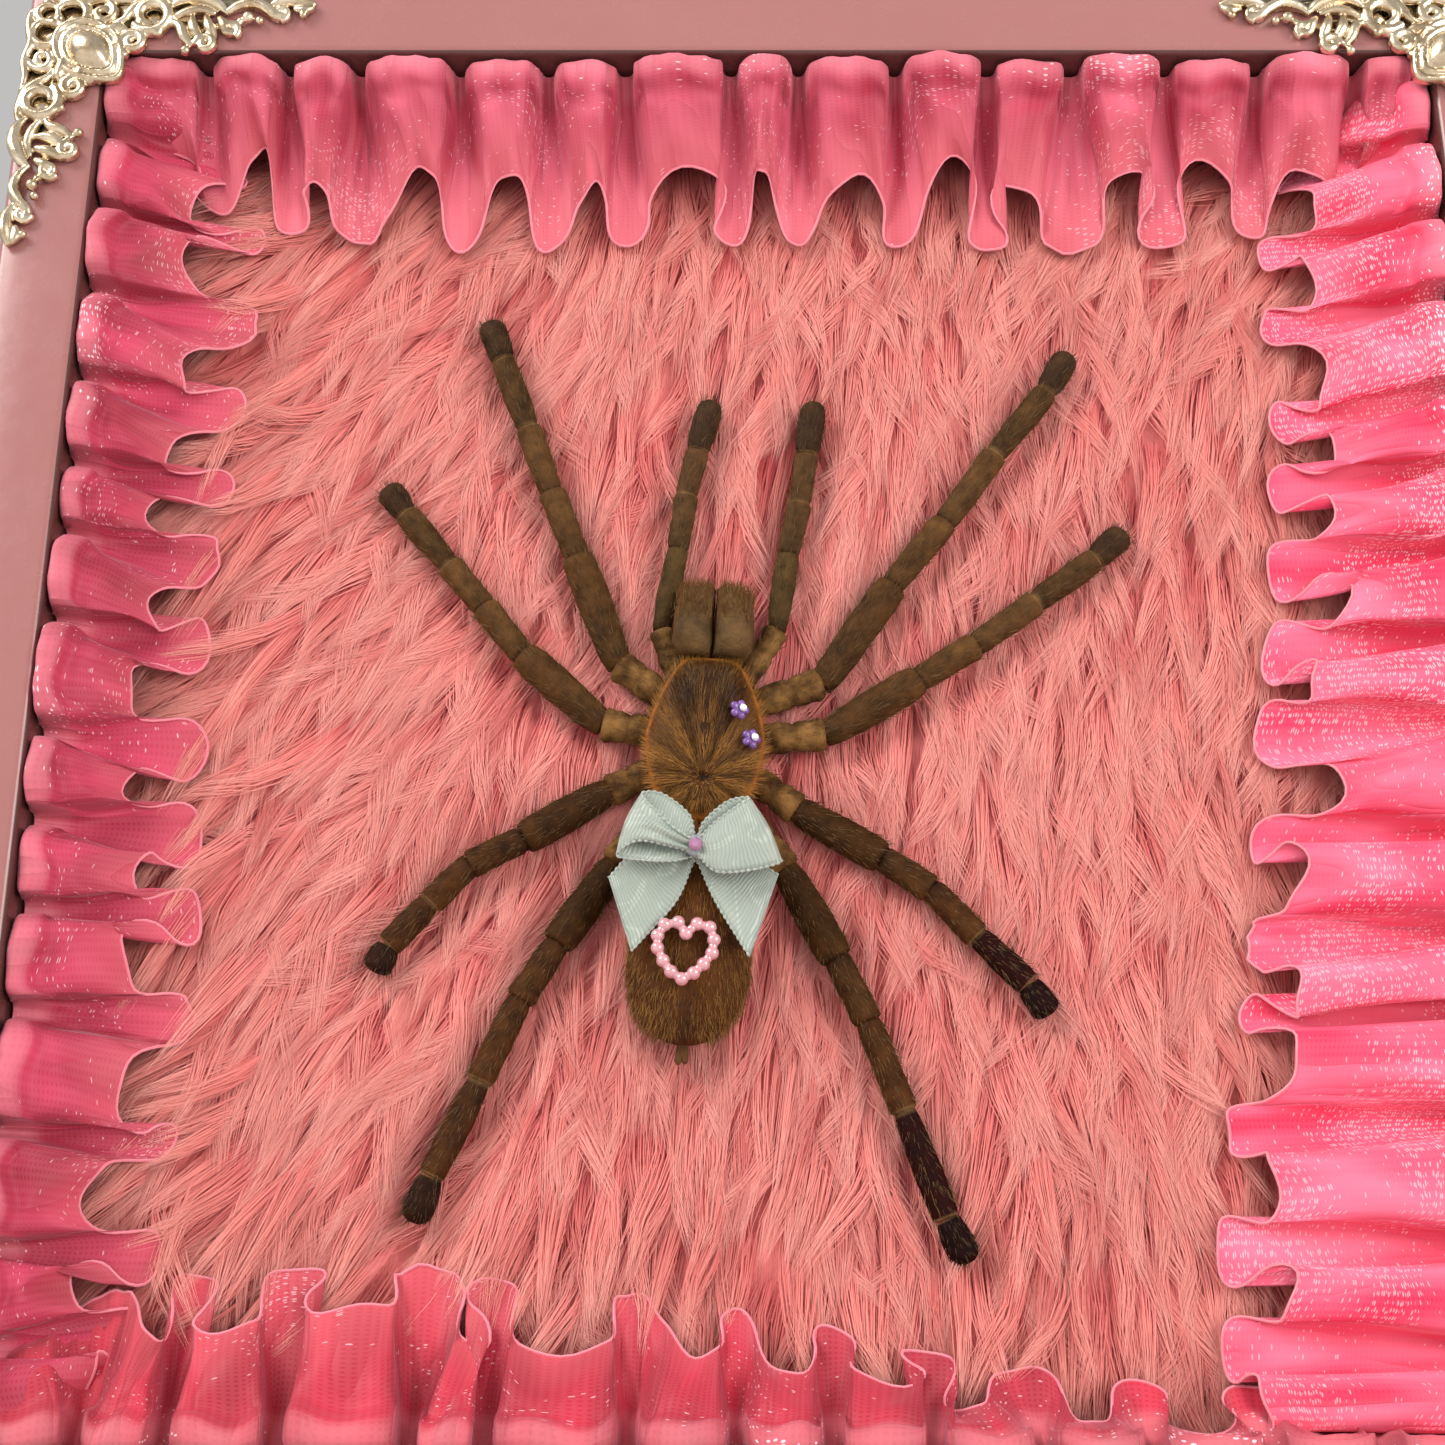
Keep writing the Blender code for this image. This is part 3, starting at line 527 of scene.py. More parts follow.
def build_top_rail():
    deselect()
    ledge, step = BACK_Y - REBATE_DEPTH, MIDDLE_Z + INNER + REBATE_WIDTH
    middle = (0, (FACE_Y + ledge) / 2, MIDDLE_Z + HALF - FACE_WIDTH / 2)
    bar = (OUTER * SPARE_LENGTH, ledge - FACE_Y, FACE_WIDTH)
    bpy.ops.mesh.primitive_cube_add(size=1, location=middle, scale=bar)
    rail = settle(bpy.context.object, "rail_top")

    def outer_back(face):
        return face.normal.y > 0.9 and face.center.z > step

    def long_front(line):
        first, second = (rail.data.vertices[index].co for index in line.vertices)
        at_front = max(first.y, second.y) < FACE_Y + 0.01 * MM
        return at_front and abs(first.x - second.x) > OUTER / 2 and abs(first.z - step) > 0.1 * MM

    cut((0, 0, step), (0, 0, 1))
    pick("FACE", rail.data.polygons, outer_back)
    bpy.ops.mesh.extrude_region_move(TRANSFORM_OT_translate={"value": (0, REBATE_DEPTH, 0)})
    pick("EDGE", rail.data.edges, long_front)
    bpy.ops.mesh.bevel(offset=EDGE_ROUND, segments=6, profile=0.5)
    leave_edit()
    for hand in (-1, 1):
        corner = (hand * (INNER - MITRE_OVERLAP), 0, MIDDLE_Z + INNER)
        cut_off(corner, Vector((hand, 0, -1)).normalized())
    rail.data.shade_smooth()
    rail.data.set_sharp_from_angle(angle=SHARP)
    return rail


def turned_copy(obj, name, turn):
    """A copy of obj turned about the middle of the frame."""
    copy = activate(shown(name, obj.data.copy()))
    bpy.ops.transform.rotate(value=turn, orient_axis="Y", center_override=(0, 0, MIDDLE_Z))
    return settle(copy, name)


# %% [markdown]
# ### Finish of the rails
#
# The paint is a dusty rose lacquer that was sprayed on and is glossy: soft reflections with a very faint
# orange peel, a tone that wanders slightly, and a little dust in the gloss. The walls of the opening are
# coloured dark as a painted shade for the deep gaps beside the pleats, and that shows between them.

# %% Rail finish
# A dark painted shade for the walls of the opening, where the gaps behind the pleats lie in shadow.
WALL_SHADE_TONE = paint(88, 54, 50)
WALL_SHADE_EDGE = 0.4 * MM           # how far the painted shade comes round the front edge


def rail_finish():
    made, tree, shader = new_finish("dusty rose lacquer", Coat_Weight=0.3, Coat_Roughness=0.10,
                                    Specular_IOR_Level=0.5)
    place = object_place(tree)
    tone = mottled(tree, place, 22.0, 1.0, paint(156, 100, 99), paint(170, 114, 111))
    across, _, up = axes(tree, place)
    across = math_node(tree, "ABSOLUTE", across)
    up = math_node(tree, "ABSOLUTE", math_node(tree, "SUBTRACT", up, MIDDLE_Z))
    # The walls of the opening take the dark painted shade in place of the rose paint.
    inside = math_node(tree, "LESS_THAN", math_node(tree, "MAXIMUM", across, up), INNER + WALL_SHADE_EDGE)
    wire(tree, blend_colours(tree, inside, tone, WALL_SHADE_TONE), shader.inputs["Base Color"])
    wire(tree, mottled(tree, place, 140.0, 1.8, grey(0.16), grey(0.34)), shader.inputs["Roughness"])
    grained(tree, shader, place, 420.0, 0.10, 0.0004)
    return made


rail_top = build_top_rail()
RAIL_FINISH = rail_finish()
RAIL_TURNS = {"left": -math.pi / 2, "bottom": math.pi, "right": math.pi / 2}
rails = {"top": rail_top}
for side, turn in RAIL_TURNS.items():
    rails[side] = turned_copy(rail_top, f"rail_{side}", turn)
for side, rail in rails.items():
    dress(rail, RAIL_FINISH, "rail_paint", f"frame_rail_{side}")
    middle = sum((vertex.co for vertex in rail.data.vertices), Vector()) / len(rail.data.vertices)
    print(rail.name, [round(value / MM, 1) for value in middle])


# %% [markdown]
# ## Backing board
#
# The board is a plain sheet of hardboard that the solids already show right, so it keeps its solid and only
# gets a finish: tan fibres pressed in all directions, with a few darker flecks.

# %% Board finish
def board_finish():
    made, tree, shader = new_finish("hardboard", Roughness=0.75)
    place = object_place(tree)
    fibres = mottled(tree, place, 600.0, 2.6, paint(110, 80, 54), paint(165, 130, 95))
    wire(tree, fibres, shader.inputs["Base Color"])
    grained(tree, shader, place, 900.0, 0.5, 0.0003)
    return made


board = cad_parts["backing_board"]
board.data.materials.clear()
board.data.materials.append(board_finish())


# %% [markdown]
# ## Filigree corners
#
# The corners are one casting each: rococo scrolls, leaves, shell ribs and beads round a raised heart. A
# flat plate with holes would look stamped. So the scrolls are drawn as curves with a thickness that swells
# and tapers, the beads and the heart are solids, and a fine voxel remesh melts them together the way the
# metal ran in its mould. One arm is drawn, and the other is its mirror image about the diagonal.

# %% Drawing of the scrolls
FULLNESS = 1.32                  # how much stouter than its drawing every strand is cast
SCROLL_POINTS = 22


def spiral(centre, outer, inner, start, sweep, thick):
    """A scroll that winds inwards, as (along, in, radius) points. Angles are in degrees."""
    points = []
    for share in np.linspace(0, 1, SCROLL_POINTS):
        angle = math.radians(start + sweep * share)
        reach = outer + (inner - outer) * share ** 0.8
        width = thick * (0.55 + 0.45 * math.sin(math.pi * min(1.0, 0.15 + 0.75 * share)))
        points.append((centre[0] + reach * math.cos(angle), centre[1] + reach * math.sin(angle), width))
    return points


def strand(spots, thick, ends=0.45):
    """A smooth strand through (along, in) spots that is thickest in the middle."""
    knots = np.linspace(0, 1, len(spots))
    share = np.linspace(0, 1, 6 * len(spots))
    along, inward = (curve_through(knots, [spot[axis] for spot in spots], share) for axis in (0, 1))
    width = thick * (ends + (1 - ends) * np.sin(np.pi * share))
    return list(zip(along, inward, width))


ARM_SCROLLS = [
    strand([(2.2, 2.6), (3.6, 1.0), (6.0, 0.9), (9.0, 1.5), (12.2, 0.8), (15.4, 1.2), (18.4, 0.7)], 0.62),
    spiral((7.2, 3.9), 2.5, 2.2, 200, 360, 0.62),
    spiral((12.1, 3.5), 2.1, 0.45, -90, 470, 0.58),
    spiral((17.1, 8.9), 2.2, 0.50, 160, 500, 0.66),
    strand([(10.2, 6.8), (12.4, 6.9), (14.8, 6.4), (16.2, 7.0)], 0.80),
    spiral((19.6, 4.0), 3.2, 1.7, 150, -420, 0.80),
    strand([(13.6, 5.4), (15.4, 4.6), (16.6, 2.8), (18.4, 1.4), (21.4, 0.8), (24.0, 1.4)], 0.66),
    strand([(22.4, 2.2), (24.4, 1.0), (27.0, 0.9), (29.6, 2.0), (31.2, 3.6)], 0.92, 0.3),
    strand([(22.6, 4.6), (24.6, 3.4), (27.0, 2.9), (29.4, 3.6)], 0.62),
    strand([(22.4, 5.0), (24.0, 6.0), (24.8, 8.0), (26.2, 9.6)], 0.72),
    strand([(25.8, 4.0), (26.2, 6.4), (27.6, 8.6)], 0.78),
    strand([(27.8, 4.0), (28.6, 6.2), (29.6, 8.4)], 0.78),
    strand([(29.8, 4.2), (30.8, 5.8), (31.4, 7.4)], 0.72),
    spiral((28.2, 9.3), 1.75, 0.4, 180, 450, 0.62),
    spiral((31.8, 6.6), 1.5, 0.4, 60, -430, 0.56),
    strand([(30.8, 3.6), (32.6, 2.2), (35.0, 1.7), (37.2, 2.8), (38.8, 4.2), (40.4, 3.6)], 0.78),
    spiral((39.4, 3.6), 1.3, 0.4, 90, -400, 0.48),
    strand([(37.4, 2.2), (39.8, 1.2), (42.4, 1.3), (44.7, 2.0)], 0.86, 0.35),
    strand([(41.2, 2.6), (43.0, 3.0), (44.4, 2.4)], 0.58),
]
ARM_BEADS = [(14.7, 9.6, 1.0), (15.9, 11.2, 0.8), (20.8, 7.2, 0.8), (25.2, 10.4, 0.8), (34.4, 4.4, 0.95),
             (36.2, 4.9, 0.7), (42.8, 3.9, 0.65), (4.6, 5.4, 0.8), (9.8, 2.9, 0.7), (33.2, 5.0, 0.6)]
MIDDLE_SCROLLS = [spiral((3.6, 3.6), 1.7, 1.5, 0, 360, 0.55)]
CAST_BACK, CAST_MIDDLE, CAST_FLATTEN = 0.3, 0.85, 1.15     # mm in front of the face, and height for its width


def swap(points):
    return [(inward, along, width) for along, inward, width in points]


def scroll_curves(name, scrolls):
    """Scrolls as one curve object in the plane of the corner, made a mesh."""
    curve = bpy.data.curves.new(name, "CURVE")
    curve.dimensions = "3D"
    curve.bevel_depth = MM
    curve.bevel_resolution = 2
    curve.use_fill_caps = True
    for scroll in scrolls:
        spline = curve.splines.new("POLY")
        spline.points.add(len(scroll) - 1)
        for point, (along, inward, width) in zip(spline.points, scroll):
            point.co = (along * MM, inward * MM, 0, 1)
            point.radius = width * FULLNESS
    obj = activate(shown(name, curve))
    bpy.ops.object.convert(target="MESH")
    obj.scale = (1, 1, CAST_FLATTEN)
    obj.location = (0, 0, CAST_MIDDLE * MM)
    return settle(obj)


def bead(along, inward, radius):
    deselect()
    spot = (along * MM, inward * MM, (0.7 + 0.35 * radius) * MM)          # a larger bead stands higher
    bpy.ops.mesh.primitive_uv_sphere_add(segments=16, ring_count=10, radius=radius * MM, location=spot)
    return settle(bpy.context.object)


# %% The raised heart
BOSS_CENTRE, BOSS_LONG, BOSS_WIDE, BOSS_SIDES = 10.8, 6.9, 5.0, 64
BOSS_STEPS = [(1.0, 0.0), (1.04, 0.9), (1.0, 1.5), (0.93, 1.75), (0.86, 1.45), (0.82, 1.15), (0.76, 1.5),
              (0.70, 1.75), (0.64, 1.5), (0.60, 1.3), (0.50, 2.2), (0.36, 2.9), (0.20, 3.3), (0.05, 3.45)]


def boss_ring(share, rise):
    """A ring of the teardrop: round towards the apex and drawn to a point at the opening."""
    ring = []
    diagonal = math.sqrt(0.5)
    for turn in np.linspace(0, math.tau, BOSS_SIDES, endpoint=False):
        along = BOSS_LONG * share * (math.cos(turn) if math.cos(turn) < 0 else math.cos(turn) ** 1.25)
        narrow = 1.0 - 0.30 * max(0.0, math.cos(turn)) ** 2
        across = BOSS_WIDE * share * math.sin(turn) * narrow
        ring.append(((BOSS_CENTRE + (along - across) * diagonal) * MM,
                     (BOSS_CENTRE + (along + across) * diagonal) * MM, (CAST_BACK + rise) * MM))
    return ring


def build_boss():
    rings = np.array([boss_ring(share, rise) for share, rise in BOSS_STEPS])
    return loft("boss", rings, np.linspace(0, 1, len(BOSS_STEPS)))


# %% Casting
VOXEL = 0.17 * MM
CASTING_FACES = 26000            # the remesh is thinned to about this many faces


def build_casting():
    """One corner in its own plane, its apex at the origin and its arms along +X and +Y."""
    scrolls = ARM_SCROLLS + [swap(scroll) for scroll in ARM_SCROLLS] + MIDDLE_SCROLLS
    beads = ARM_BEADS + swap(ARM_BEADS)
    parts = [scroll_curves("scrolls", scrolls), build_boss()] + [bead(*spot) for spot in beads]
    casting = join(parts, "casting")
    melt = casting.modifiers.new("melt", "REMESH")
    melt.mode = "VOXEL"
    melt.voxel_size = VOXEL
    melt.use_smooth_shade = True
    soften = casting.modifiers.new("soften", "SMOOTH")
    soften.factor = 0.5
    soften.iterations = 2
    finish_modifiers(casting)
    cut_off((0, 0, CAST_BACK * MM), (0, 0, -1))
    thin = casting.modifiers.new("thin", "DECIMATE")
    thin.ratio = min(1.0, CASTING_FACES / len(casting.data.polygons))
    finish_modifiers(casting)
    casting.data.shade_smooth()
    return casting


CORNER_LIFT = {"top": 3.0 * MM, "bottom": 2.4 * MM}       # how far the apex sits inside the frame's outline


def place_corner(casting, name, right, vertical):
    """A copy of the casting on the face of the frame at one corner, mirrored to suit it."""
    top = vertical == "top"
    height = OUTER - CORNER_LIFT[vertical] if top else CORNER_LIFT[vertical]
    place = Matrix(((-1 if right else 1, 0, 0, HALF if right else -HALF), (0, 0, -1, FACE_Y),
                    (0, -1 if top else 1, 0, height), (0, 0, 0, 1)))
    mesh = casting.data.copy()
    mesh.transform(place)
    if place.determinant() < 0:
        mesh.flip_normals()
    return shown(name, mesh)


# %% [markdown]
# ### Finish of the corners
#
# The casting is plated in pale champagne gold. Its high spots are polished and its recesses hold a brown
# antique wash, which a noise in the roughness and the colour stands for.

# %% Metal finish
def metal_finish():
    made, tree, shader = new_finish("champagne plating", Metallic=1.0)
    place = object_place(tree)
    tone = mottled(tree, place, 260.0, 2.4, paint(172, 146, 110), paint(246, 232, 206))
    wire(tree, tone, shader.inputs["Base Color"])
    wire(tree, mottled(tree, place, 480.0, 1.8, grey(0.16), grey(0.40)), shader.inputs["Roughness"])
    grained(tree, shader, place, 1500.0, 0.18, 0.0002)
    return made


METAL = metal_finish()
casting = build_casting()
for vertical in ("top", "bottom"):
    for horizontal in ("left", "right"):
        node = f"corner_{vertical}_{horizontal}"
        corner = place_corner(casting, f"filigree_{vertical}_{horizontal}", horizontal == "right", vertical)
        dress(corner, METAL, "filigree_metal", node)
print("triangles of a corner:", len(casting.data.polygons))
bpy.data.objects.remove(casting)


# %% [markdown]
# ## Where the specimen lies
#
# The spider was pinned out flat while it dried, so its pose is a drawing: a line of joints for each leg and
# palp, from the tip of the foot to the last joint before the body. The fur bends away from those lines, and
# the legs are built along them. A point is (across, up) in millimetres from the middle of the carapace.

# %% Lines of the legs and palps
LEG_LINES = {
    "leg_left_1": [(-33.5, 66), (-31.2, 59.2), (-27, 47.6), (-23.2, 36.9), (-19.1, 26.4), (-12.8, 9.6)],
    "leg_left_2": [(-47.8, 38), (-44.7, 33.5), (-37.9, 25.2), (-32.5, 18.5), (-26.7, 11), (-15, 0.5)],
    "leg_left_3": [(-45.7, -35.5), (-43.9, -31.8), (-38.4, -25.8), (-33.1, -20.4), (-25.7, -16.7),
                   (-13.9, -9.6)],
    "leg_left_4": [(-38.7, -69.2), (-36.5, -63.2), (-30.6, -50.6), (-25.5, -39.5), (-20.6, -31.7),
                   (-12.9, -20.4)],
    "leg_right_1": [(55.1, 60.4), (51.3, 53.9), (43.1, 43.2), (35.1, 32), (27.1, 21.9), (16.6, 6.7)],
    "leg_right_2": [(61.7, 30.7), (57.1, 26.2), (48, 19.3), (39, 12.6), (30.6, 7.2), (17, -1.1)],
    "leg_right_3": [(46.9, -41.5), (44.2, -37.2), (37.5, -30.6), (31.2, -23.9), (24.6, -19.5), (12.9, -12.4)],
    "leg_right_4": [(34.6, -74.4), (31.9, -68.7), (26.7, -54.6), (22.1, -42.5), (18, -33.9), (11.2, -21.2)],
    "palp_left": [(0.6, 52.4), (-1.5, 43.8), (-3.2, 36.4), (-4.3, 27.8), (-6.6, 15.2)],
    "palp_right": [(16.1, 52.2), (14.9, 43.2), (13.7, 35.1), (11.9, 27), (10.2, 15.2)],
}
HIPS = {"1": (6.0, 4.0), "2": (6.4, -1.2), "3": (6.2, -6.4), "4": (5.0, -11.4), "palp": (5.0, 7.6)}
BODY_ENDS = 20, -46              # tip of the jaws and end of the abdomen, along the body's axis


def leaned(across, along):
    """A point given on the body's own leaning axis, as (across, up) on the panel."""
    return (across * math.cos(BODY_TILT) + along * math.sin(BODY_TILT),
            along * math.cos(BODY_TILT) - across * math.sin(BODY_TILT))


def limb_line(name):
    """The joints of a limb with its hip, which lies under the rim of the carapace."""
    across, along = HIPS["palp" if name.startswith("palp") else name[-1]]
    return LEG_LINES[name] + [leaned(-across if "left" in name else across, along)]


def specimen_segments():
    """Starts and ends of every stretch of the specimen, in metres on the panel."""
    lines = [limb_line(name) for name in LEG_LINES] + [[leaned(0, along) for along in BODY_ENDS]]
    pairs = [pair for line in lines for pair in zip(line, line[1:])]
    ends = np.array(pairs) * MM + np.array([SPECIMEN_X, SPECIMEN_Z])
    return ends[:, 0], ends[:, 1]


SEGMENT_STARTS, SEGMENT_ENDS = specimen_segments()


def distance_to_specimen(x, z):
    """How far points of the panel are from the nearest limb or from the body's axis."""
    spots = np.stack([x, z], axis=-1)
    nearest = np.full(x.shape, np.inf)
    for start, end in zip(SEGMENT_STARTS, SEGMENT_ENDS):
        span = end - start
        share = np.clip(((spots - start) @ span) / (span @ span), 0, 1)
        nearest = np.minimum(nearest, np.linalg.norm(spots - start - share[..., None] * span, axis=-1))
    return nearest


print("stretches of the specimen:", len(SEGMENT_STARTS))


# %% [markdown]
# ## Faux fur panel
#
# The specimen lies on long-pile faux fur: a knitted ground with a dense pile that is combed downwards and
# clumps into pointed locks. Hair curves would be the quick way, but only meshes last outside Blender. So the
# ground is one closed panel, and each fibre is a narrow tapering strip of seven triangles. Fibres are dealt
# out in locks that share a direction, a wave and a tone, and that is what makes pile look combed.

# %% The lie of the pile
FUR_SIDE = 2 * (INNER - GAP)
FUR_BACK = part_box("fur_panel")[1][1]
PILE_FREE = -0.6 * MM          # y of the pile away from the specimen
PILE_PRESSED = 1.7 * MM        # y where the specimen presses on it
PILE_EDGE = 1.0 * MM           # y under the ruffle
GROUND_DEPTH = 2.1 * MM        # the ground lies this far behind the tips
GROUND_CELLS = 72
BACKING = 1.0 * MM             # thickness of the knitted ground before it is drawn forward
LUMPS = 0.5 * MM


def pile_y(x, z):
    """y of the surface that the lock tips make."""
    free = smooth_step(2.6 * MM, 8.0 * MM, distance_to_specimen(x, z))
    y = PILE_PRESSED + (PILE_FREE - PILE_PRESSED) * free
    from_wall = INNER - np.maximum(np.abs(x), np.abs(z - MIDDLE_Z))
    return PILE_EDGE + (y - PILE_EDGE) * smooth_step(5 * MM, 12 * MM, from_wall)


def comb_angle(x, z):
    """How far the pile leans to the left of straight down, in radians: swept left at the left and the top."""
    left = smooth_step(10 * MM, -85 * MM, x)
    top_right = smooth_step(30 * MM, 85 * MM, x) * smooth_step(165 * MM, 195 * MM, z)
    top = smooth_step(160 * MM, 200 * MM, z)
    lower_right = smooth_step(20 * MM, 70 * MM, x) * smooth_step(120 * MM, 60 * MM, z)
    lean = math.radians(5) + math.radians(34) * left + math.radians(9) * top * left
    return lean + math.radians(32) * top_right - math.radians(14) * lower_right


# %% Ground of the fur
def build_ground():
    """A fine grid laid at the foot of the pile, drawn back to a closed panel."""
    deselect()
    bpy.ops.mesh.primitive_grid_add(x_subdivisions=GROUND_CELLS, y_subdivisions=GROUND_CELLS, size=FUR_SIDE,
                                    location=(0, FUR_BACK - BACKING, MIDDLE_Z), rotation=(math.pi / 2, 0, 0))
    ground = settle(bpy.context.object, "fur_ground")
    edit()
    bpy.ops.mesh.extrude_region_move(TRANSFORM_OT_translate={"value": (0, BACKING, 0)})
    bpy.ops.mesh.select_all(action="SELECT")
    bpy.ops.mesh.normals_make_consistent(inside=False)
    leave_edit()
    front = [vertex for vertex in ground.data.vertices if vertex.co.y < FUR_BACK - BACKING / 2]
    x = np.array([vertex.co.x for vertex in front])
    z = np.array([vertex.co.z for vertex in front])
    for vertex, y in zip(front, pile_y(x, z) + GROUND_DEPTH):
        vertex.co.y = y + LUMPS * noise.noise(vertex.co * 400)
    ground.data.shade_smooth()
    ground.data.update()
    return ground


# %% Fibres as strips
def fibre_strips(name, centres, widths, turn, map_place):
    """Strips along centres (n, k, 3), each widths (n, k - 1) wide and drawn to a point at its end.

    turn (n,) rolls the flat of each strip about its own line, and map_place (n,) is its place on the map's U.
    """
    count, stations, _ = centres.shape
    tangent = np.gradient(centres, axis=1)
    side = unit(np.cross(tangent, FORWARD))
    rise = unit(np.cross(side, tangent))
    across = side * np.cos(turn)[:, None, None] + rise * np.sin(turn)[:, None, None]
    half = across[:, :-1] * widths[:, :, None] / 2
    pairs = np.stack([centres[:, :-1] - half, centres[:, :-1] + half], axis=2).reshape(count, -1, 3)
    points = np.concatenate([pairs, centres[:, -1:]], axis=1)
    last = 2 * (stations - 2)
    corners = [(2 * i, 2 * i + 1, 2 * i + 3) for i in range(stations - 2)]
    corners += [(2 * i, 2 * i + 3, 2 * i + 2) for i in range(stations - 2)] + [(last, last + 1, last + 2)]
    faces = np.array(corners)[None] + (np.arange(count) * (last + 3))[:, None, None]
    along = np.append(np.repeat(np.linspace(0, 1, stations)[:-1], 2), 1.0)
    uv = np.stack(np.broadcast_arrays(map_place[:, None], along[None]), axis=-1)
    return array_mesh(name, points.reshape(-1, 3), faces.reshape(-1, 3), uv.reshape(-1, 2))


# %% Locks of the pile
LOCKS = 2500
FIBRES_IN_LOCK = 42
LOCK_PIECES = 5
LOCK_MARGIN = 6 * MM             # roots keep this far from the wall of the opening
WALL_GAP = 1.2 * MM              # and tips this far
HEM_ZONE = 20 * MM, 23 * MM      # locks from inside the first that reach past the second may lie over a hem
FIBRE_SHARES = np.array([0.0, 0.2, 0.45, 0.72, 1.0])
FIBRE_TAPER = np.array([1.0, 1.0, 0.85, 0.55])


def deal_locks(chance):
    """The values of each lock: place of its root, lean, length, width, rise, bend, curl and tone."""
    reach = INNER - LOCK_MARGIN
    across = chance.uniform(-reach, reach, LOCKS)
    up = np.sort(chance.uniform(MIDDLE_Z - reach - 2 * MM, MIDDLE_Z + reach, LOCKS))[::-1]
    lean = comb_angle(across, up) + chance.normal(0, 0.08, LOCKS)
    long = chance.uniform(14, 26, LOCKS) * MM
    wide = chance.uniform(2.4, 5.6, LOCKS) * MM
    proud = chance.normal(0, 0.32, LOCKS) * MM
    bend = chance.normal(0, 0.24, LOCKS)
    curl = chance.normal(0, 0.5, LOCKS) * MM
    tone = chance.normal(0.5, 0.20, LOCKS)
    tip_x, tip_z = across - long * np.sin(lean + bend), up - long * np.cos(lean + bend)
    root_gap = np.minimum(across + INNER, up - MIDDLE_Z + INNER)
    tip_gap = np.minimum(tip_x + INNER, tip_z - MIDDLE_Z + INNER)
    over_hem = (root_gap > HEM_ZONE[0]) & (tip_gap < HEM_ZONE[1]) & (across < 40 * MM)
    over_hem &= chance.uniform(0, 1, LOCKS) < 0.3
    proud -= over_hem * chance.uniform(1.6, 3.2, LOCKS) * MM
    return across, up, lean, long, wide, proud, bend, curl, tone


def build_pile():
    """Every lock's fibres, from the top of the panel down, in pieces of equal count."""
    chance = np.random.default_rng(11)
    locks = (np.repeat(values, FIBRES_IN_LOCK) for values in deal_locks(chance))
    across, up, lean, long, wide, proud, bend, curl, tone = locks
    count = len(across)
    place = chance.uniform(-1, 1, count)
    set_back = chance.uniform(-3.5, 2.0, count) * MM
    long = long * chance.uniform(0.72, 1.08, count)
    stray = chance.normal(0, 0.018, count)
    wander = chance.normal(0, 0.14, count) * MM
    centres = np.empty((count, len(FIBRE_SHARES), 3))
    for station, share in enumerate(FIBRE_SHARES):
        angle = lean + bend * share + stray
        draw_in = 1 - 0.74 * share ** 2
        sideways = place * wide / 2 * draw_in + wander * math.sin(math.pi * share)
        sideways += curl * math.sin(math.tau * share)
        down = long * share + set_back * (1 - share)
        x = across - down * np.sin(angle) + sideways * np.cos(angle)
        z = up - down * np.cos(angle) - sideways * np.sin(angle)
        crown = 0.6 * MM * (1 - np.minimum(1, place ** 2)) * math.sin(math.pi * min(1, share + 0.1))
        shingle = 1.5 * MM * (1 - share) ** 1.3 - 1.0 * MM * share ** 2
        y = pile_y(x, z) + shingle - crown + proud * share
        centres[:, station] = np.stack([x, y, z], axis=-1)
    widths = chance.uniform(0.11, 0.18, count)[:, None] * MM * FIBRE_TAPER[None]
    turn = 0.35 * place + chance.normal(0, 0.12, count)
    # Painted light in the middle of a lock and painted shade at its edges, so that the lock looks rounded.
    inner = 0.16 * (0.5 - np.abs(place))
    shade = np.clip(tone + inner + chance.normal(0, 0.05, count), 0.02, 0.98)
    limit = INNER - WALL_GAP
    centres[..., 0] = np.clip(centres[..., 0], -limit, limit)
    centres[..., 2] = np.clip(centres[..., 2], MIDDLE_Z - limit, MIDDLE_Z + limit)
    pieces = []
    for index, part in enumerate(np.array_split(np.arange(count), LOCK_PIECES)):
        name = f"fur_pile_{index + 1}"
        pieces.append(fibre_strips(name, centres[part], widths[part], turn[part], shade[part]))
    return pieces


fur_ground = build_ground()
fur_pile = build_pile()
print("fibre triangles:", sum(len(piece.data.polygons) for piece in fur_pile))


# %% [markdown]
# ### Finish of the fur
#
# Dyed acrylic pile is salmon pink. Along each fibre, a painted shade at its root, where its neighbours
# shade it, gives way to painted light at its pale and a little shiny tip. A lock gets painted light in its
# middle and painted shade at its edges, so that it looks rounded. The map of a fibre holds its own tone
# across and its length along, so two ramps give the whole colour. The ground is the shade at the foot of the
# pile.

# %% Fur finishes
def fur_finish():
    made, tree, shader = new_finish("salmon pile", Roughness=0.6, Specular_IOR_Level=0.3)
    _, own_tone, along = surface_map(tree)
    # Painted shade at the root of each fibre and painted light towards its tip.
    length = ramp(tree, along, [(0.0, paint(238, 122, 124)), (0.35, paint(238, 134, 130)),
                                (0.75, paint(242, 156, 148)), (1.0, paint(250, 186, 176))])
    tone = ramp(tree, own_tone, [(0.0, paint(224, 186, 188)), (0.5, paint(247, 240, 238)), (1.0, grey(1.0))])
    wire(tree, blend_colours(tree, 1.0, length, tone, "MULTIPLY"), shader.inputs["Base Color"])
    return made


def ground_finish():
    made, tree, shader = new_finish("pile shade", Roughness=0.9)
    combed = scaled(tree, object_place(tree), (6.0, 1.0, 1.0))
    wire(tree, mottled(tree, combed, 90.0, 2.0, paint(242, 122, 122), paint(252, 150, 144)),
         shader.inputs["Base Color"])
    grained(tree, shader, combed, 300.0, 0.6, 0.0008)
    return made


dress(fur_ground, ground_finish(), "fur_pile", "fur_panel")
PILE_FINISH = fur_finish()
for piece in fur_pile:
    dress(piece, PILE_FINISH, "fur_pile")


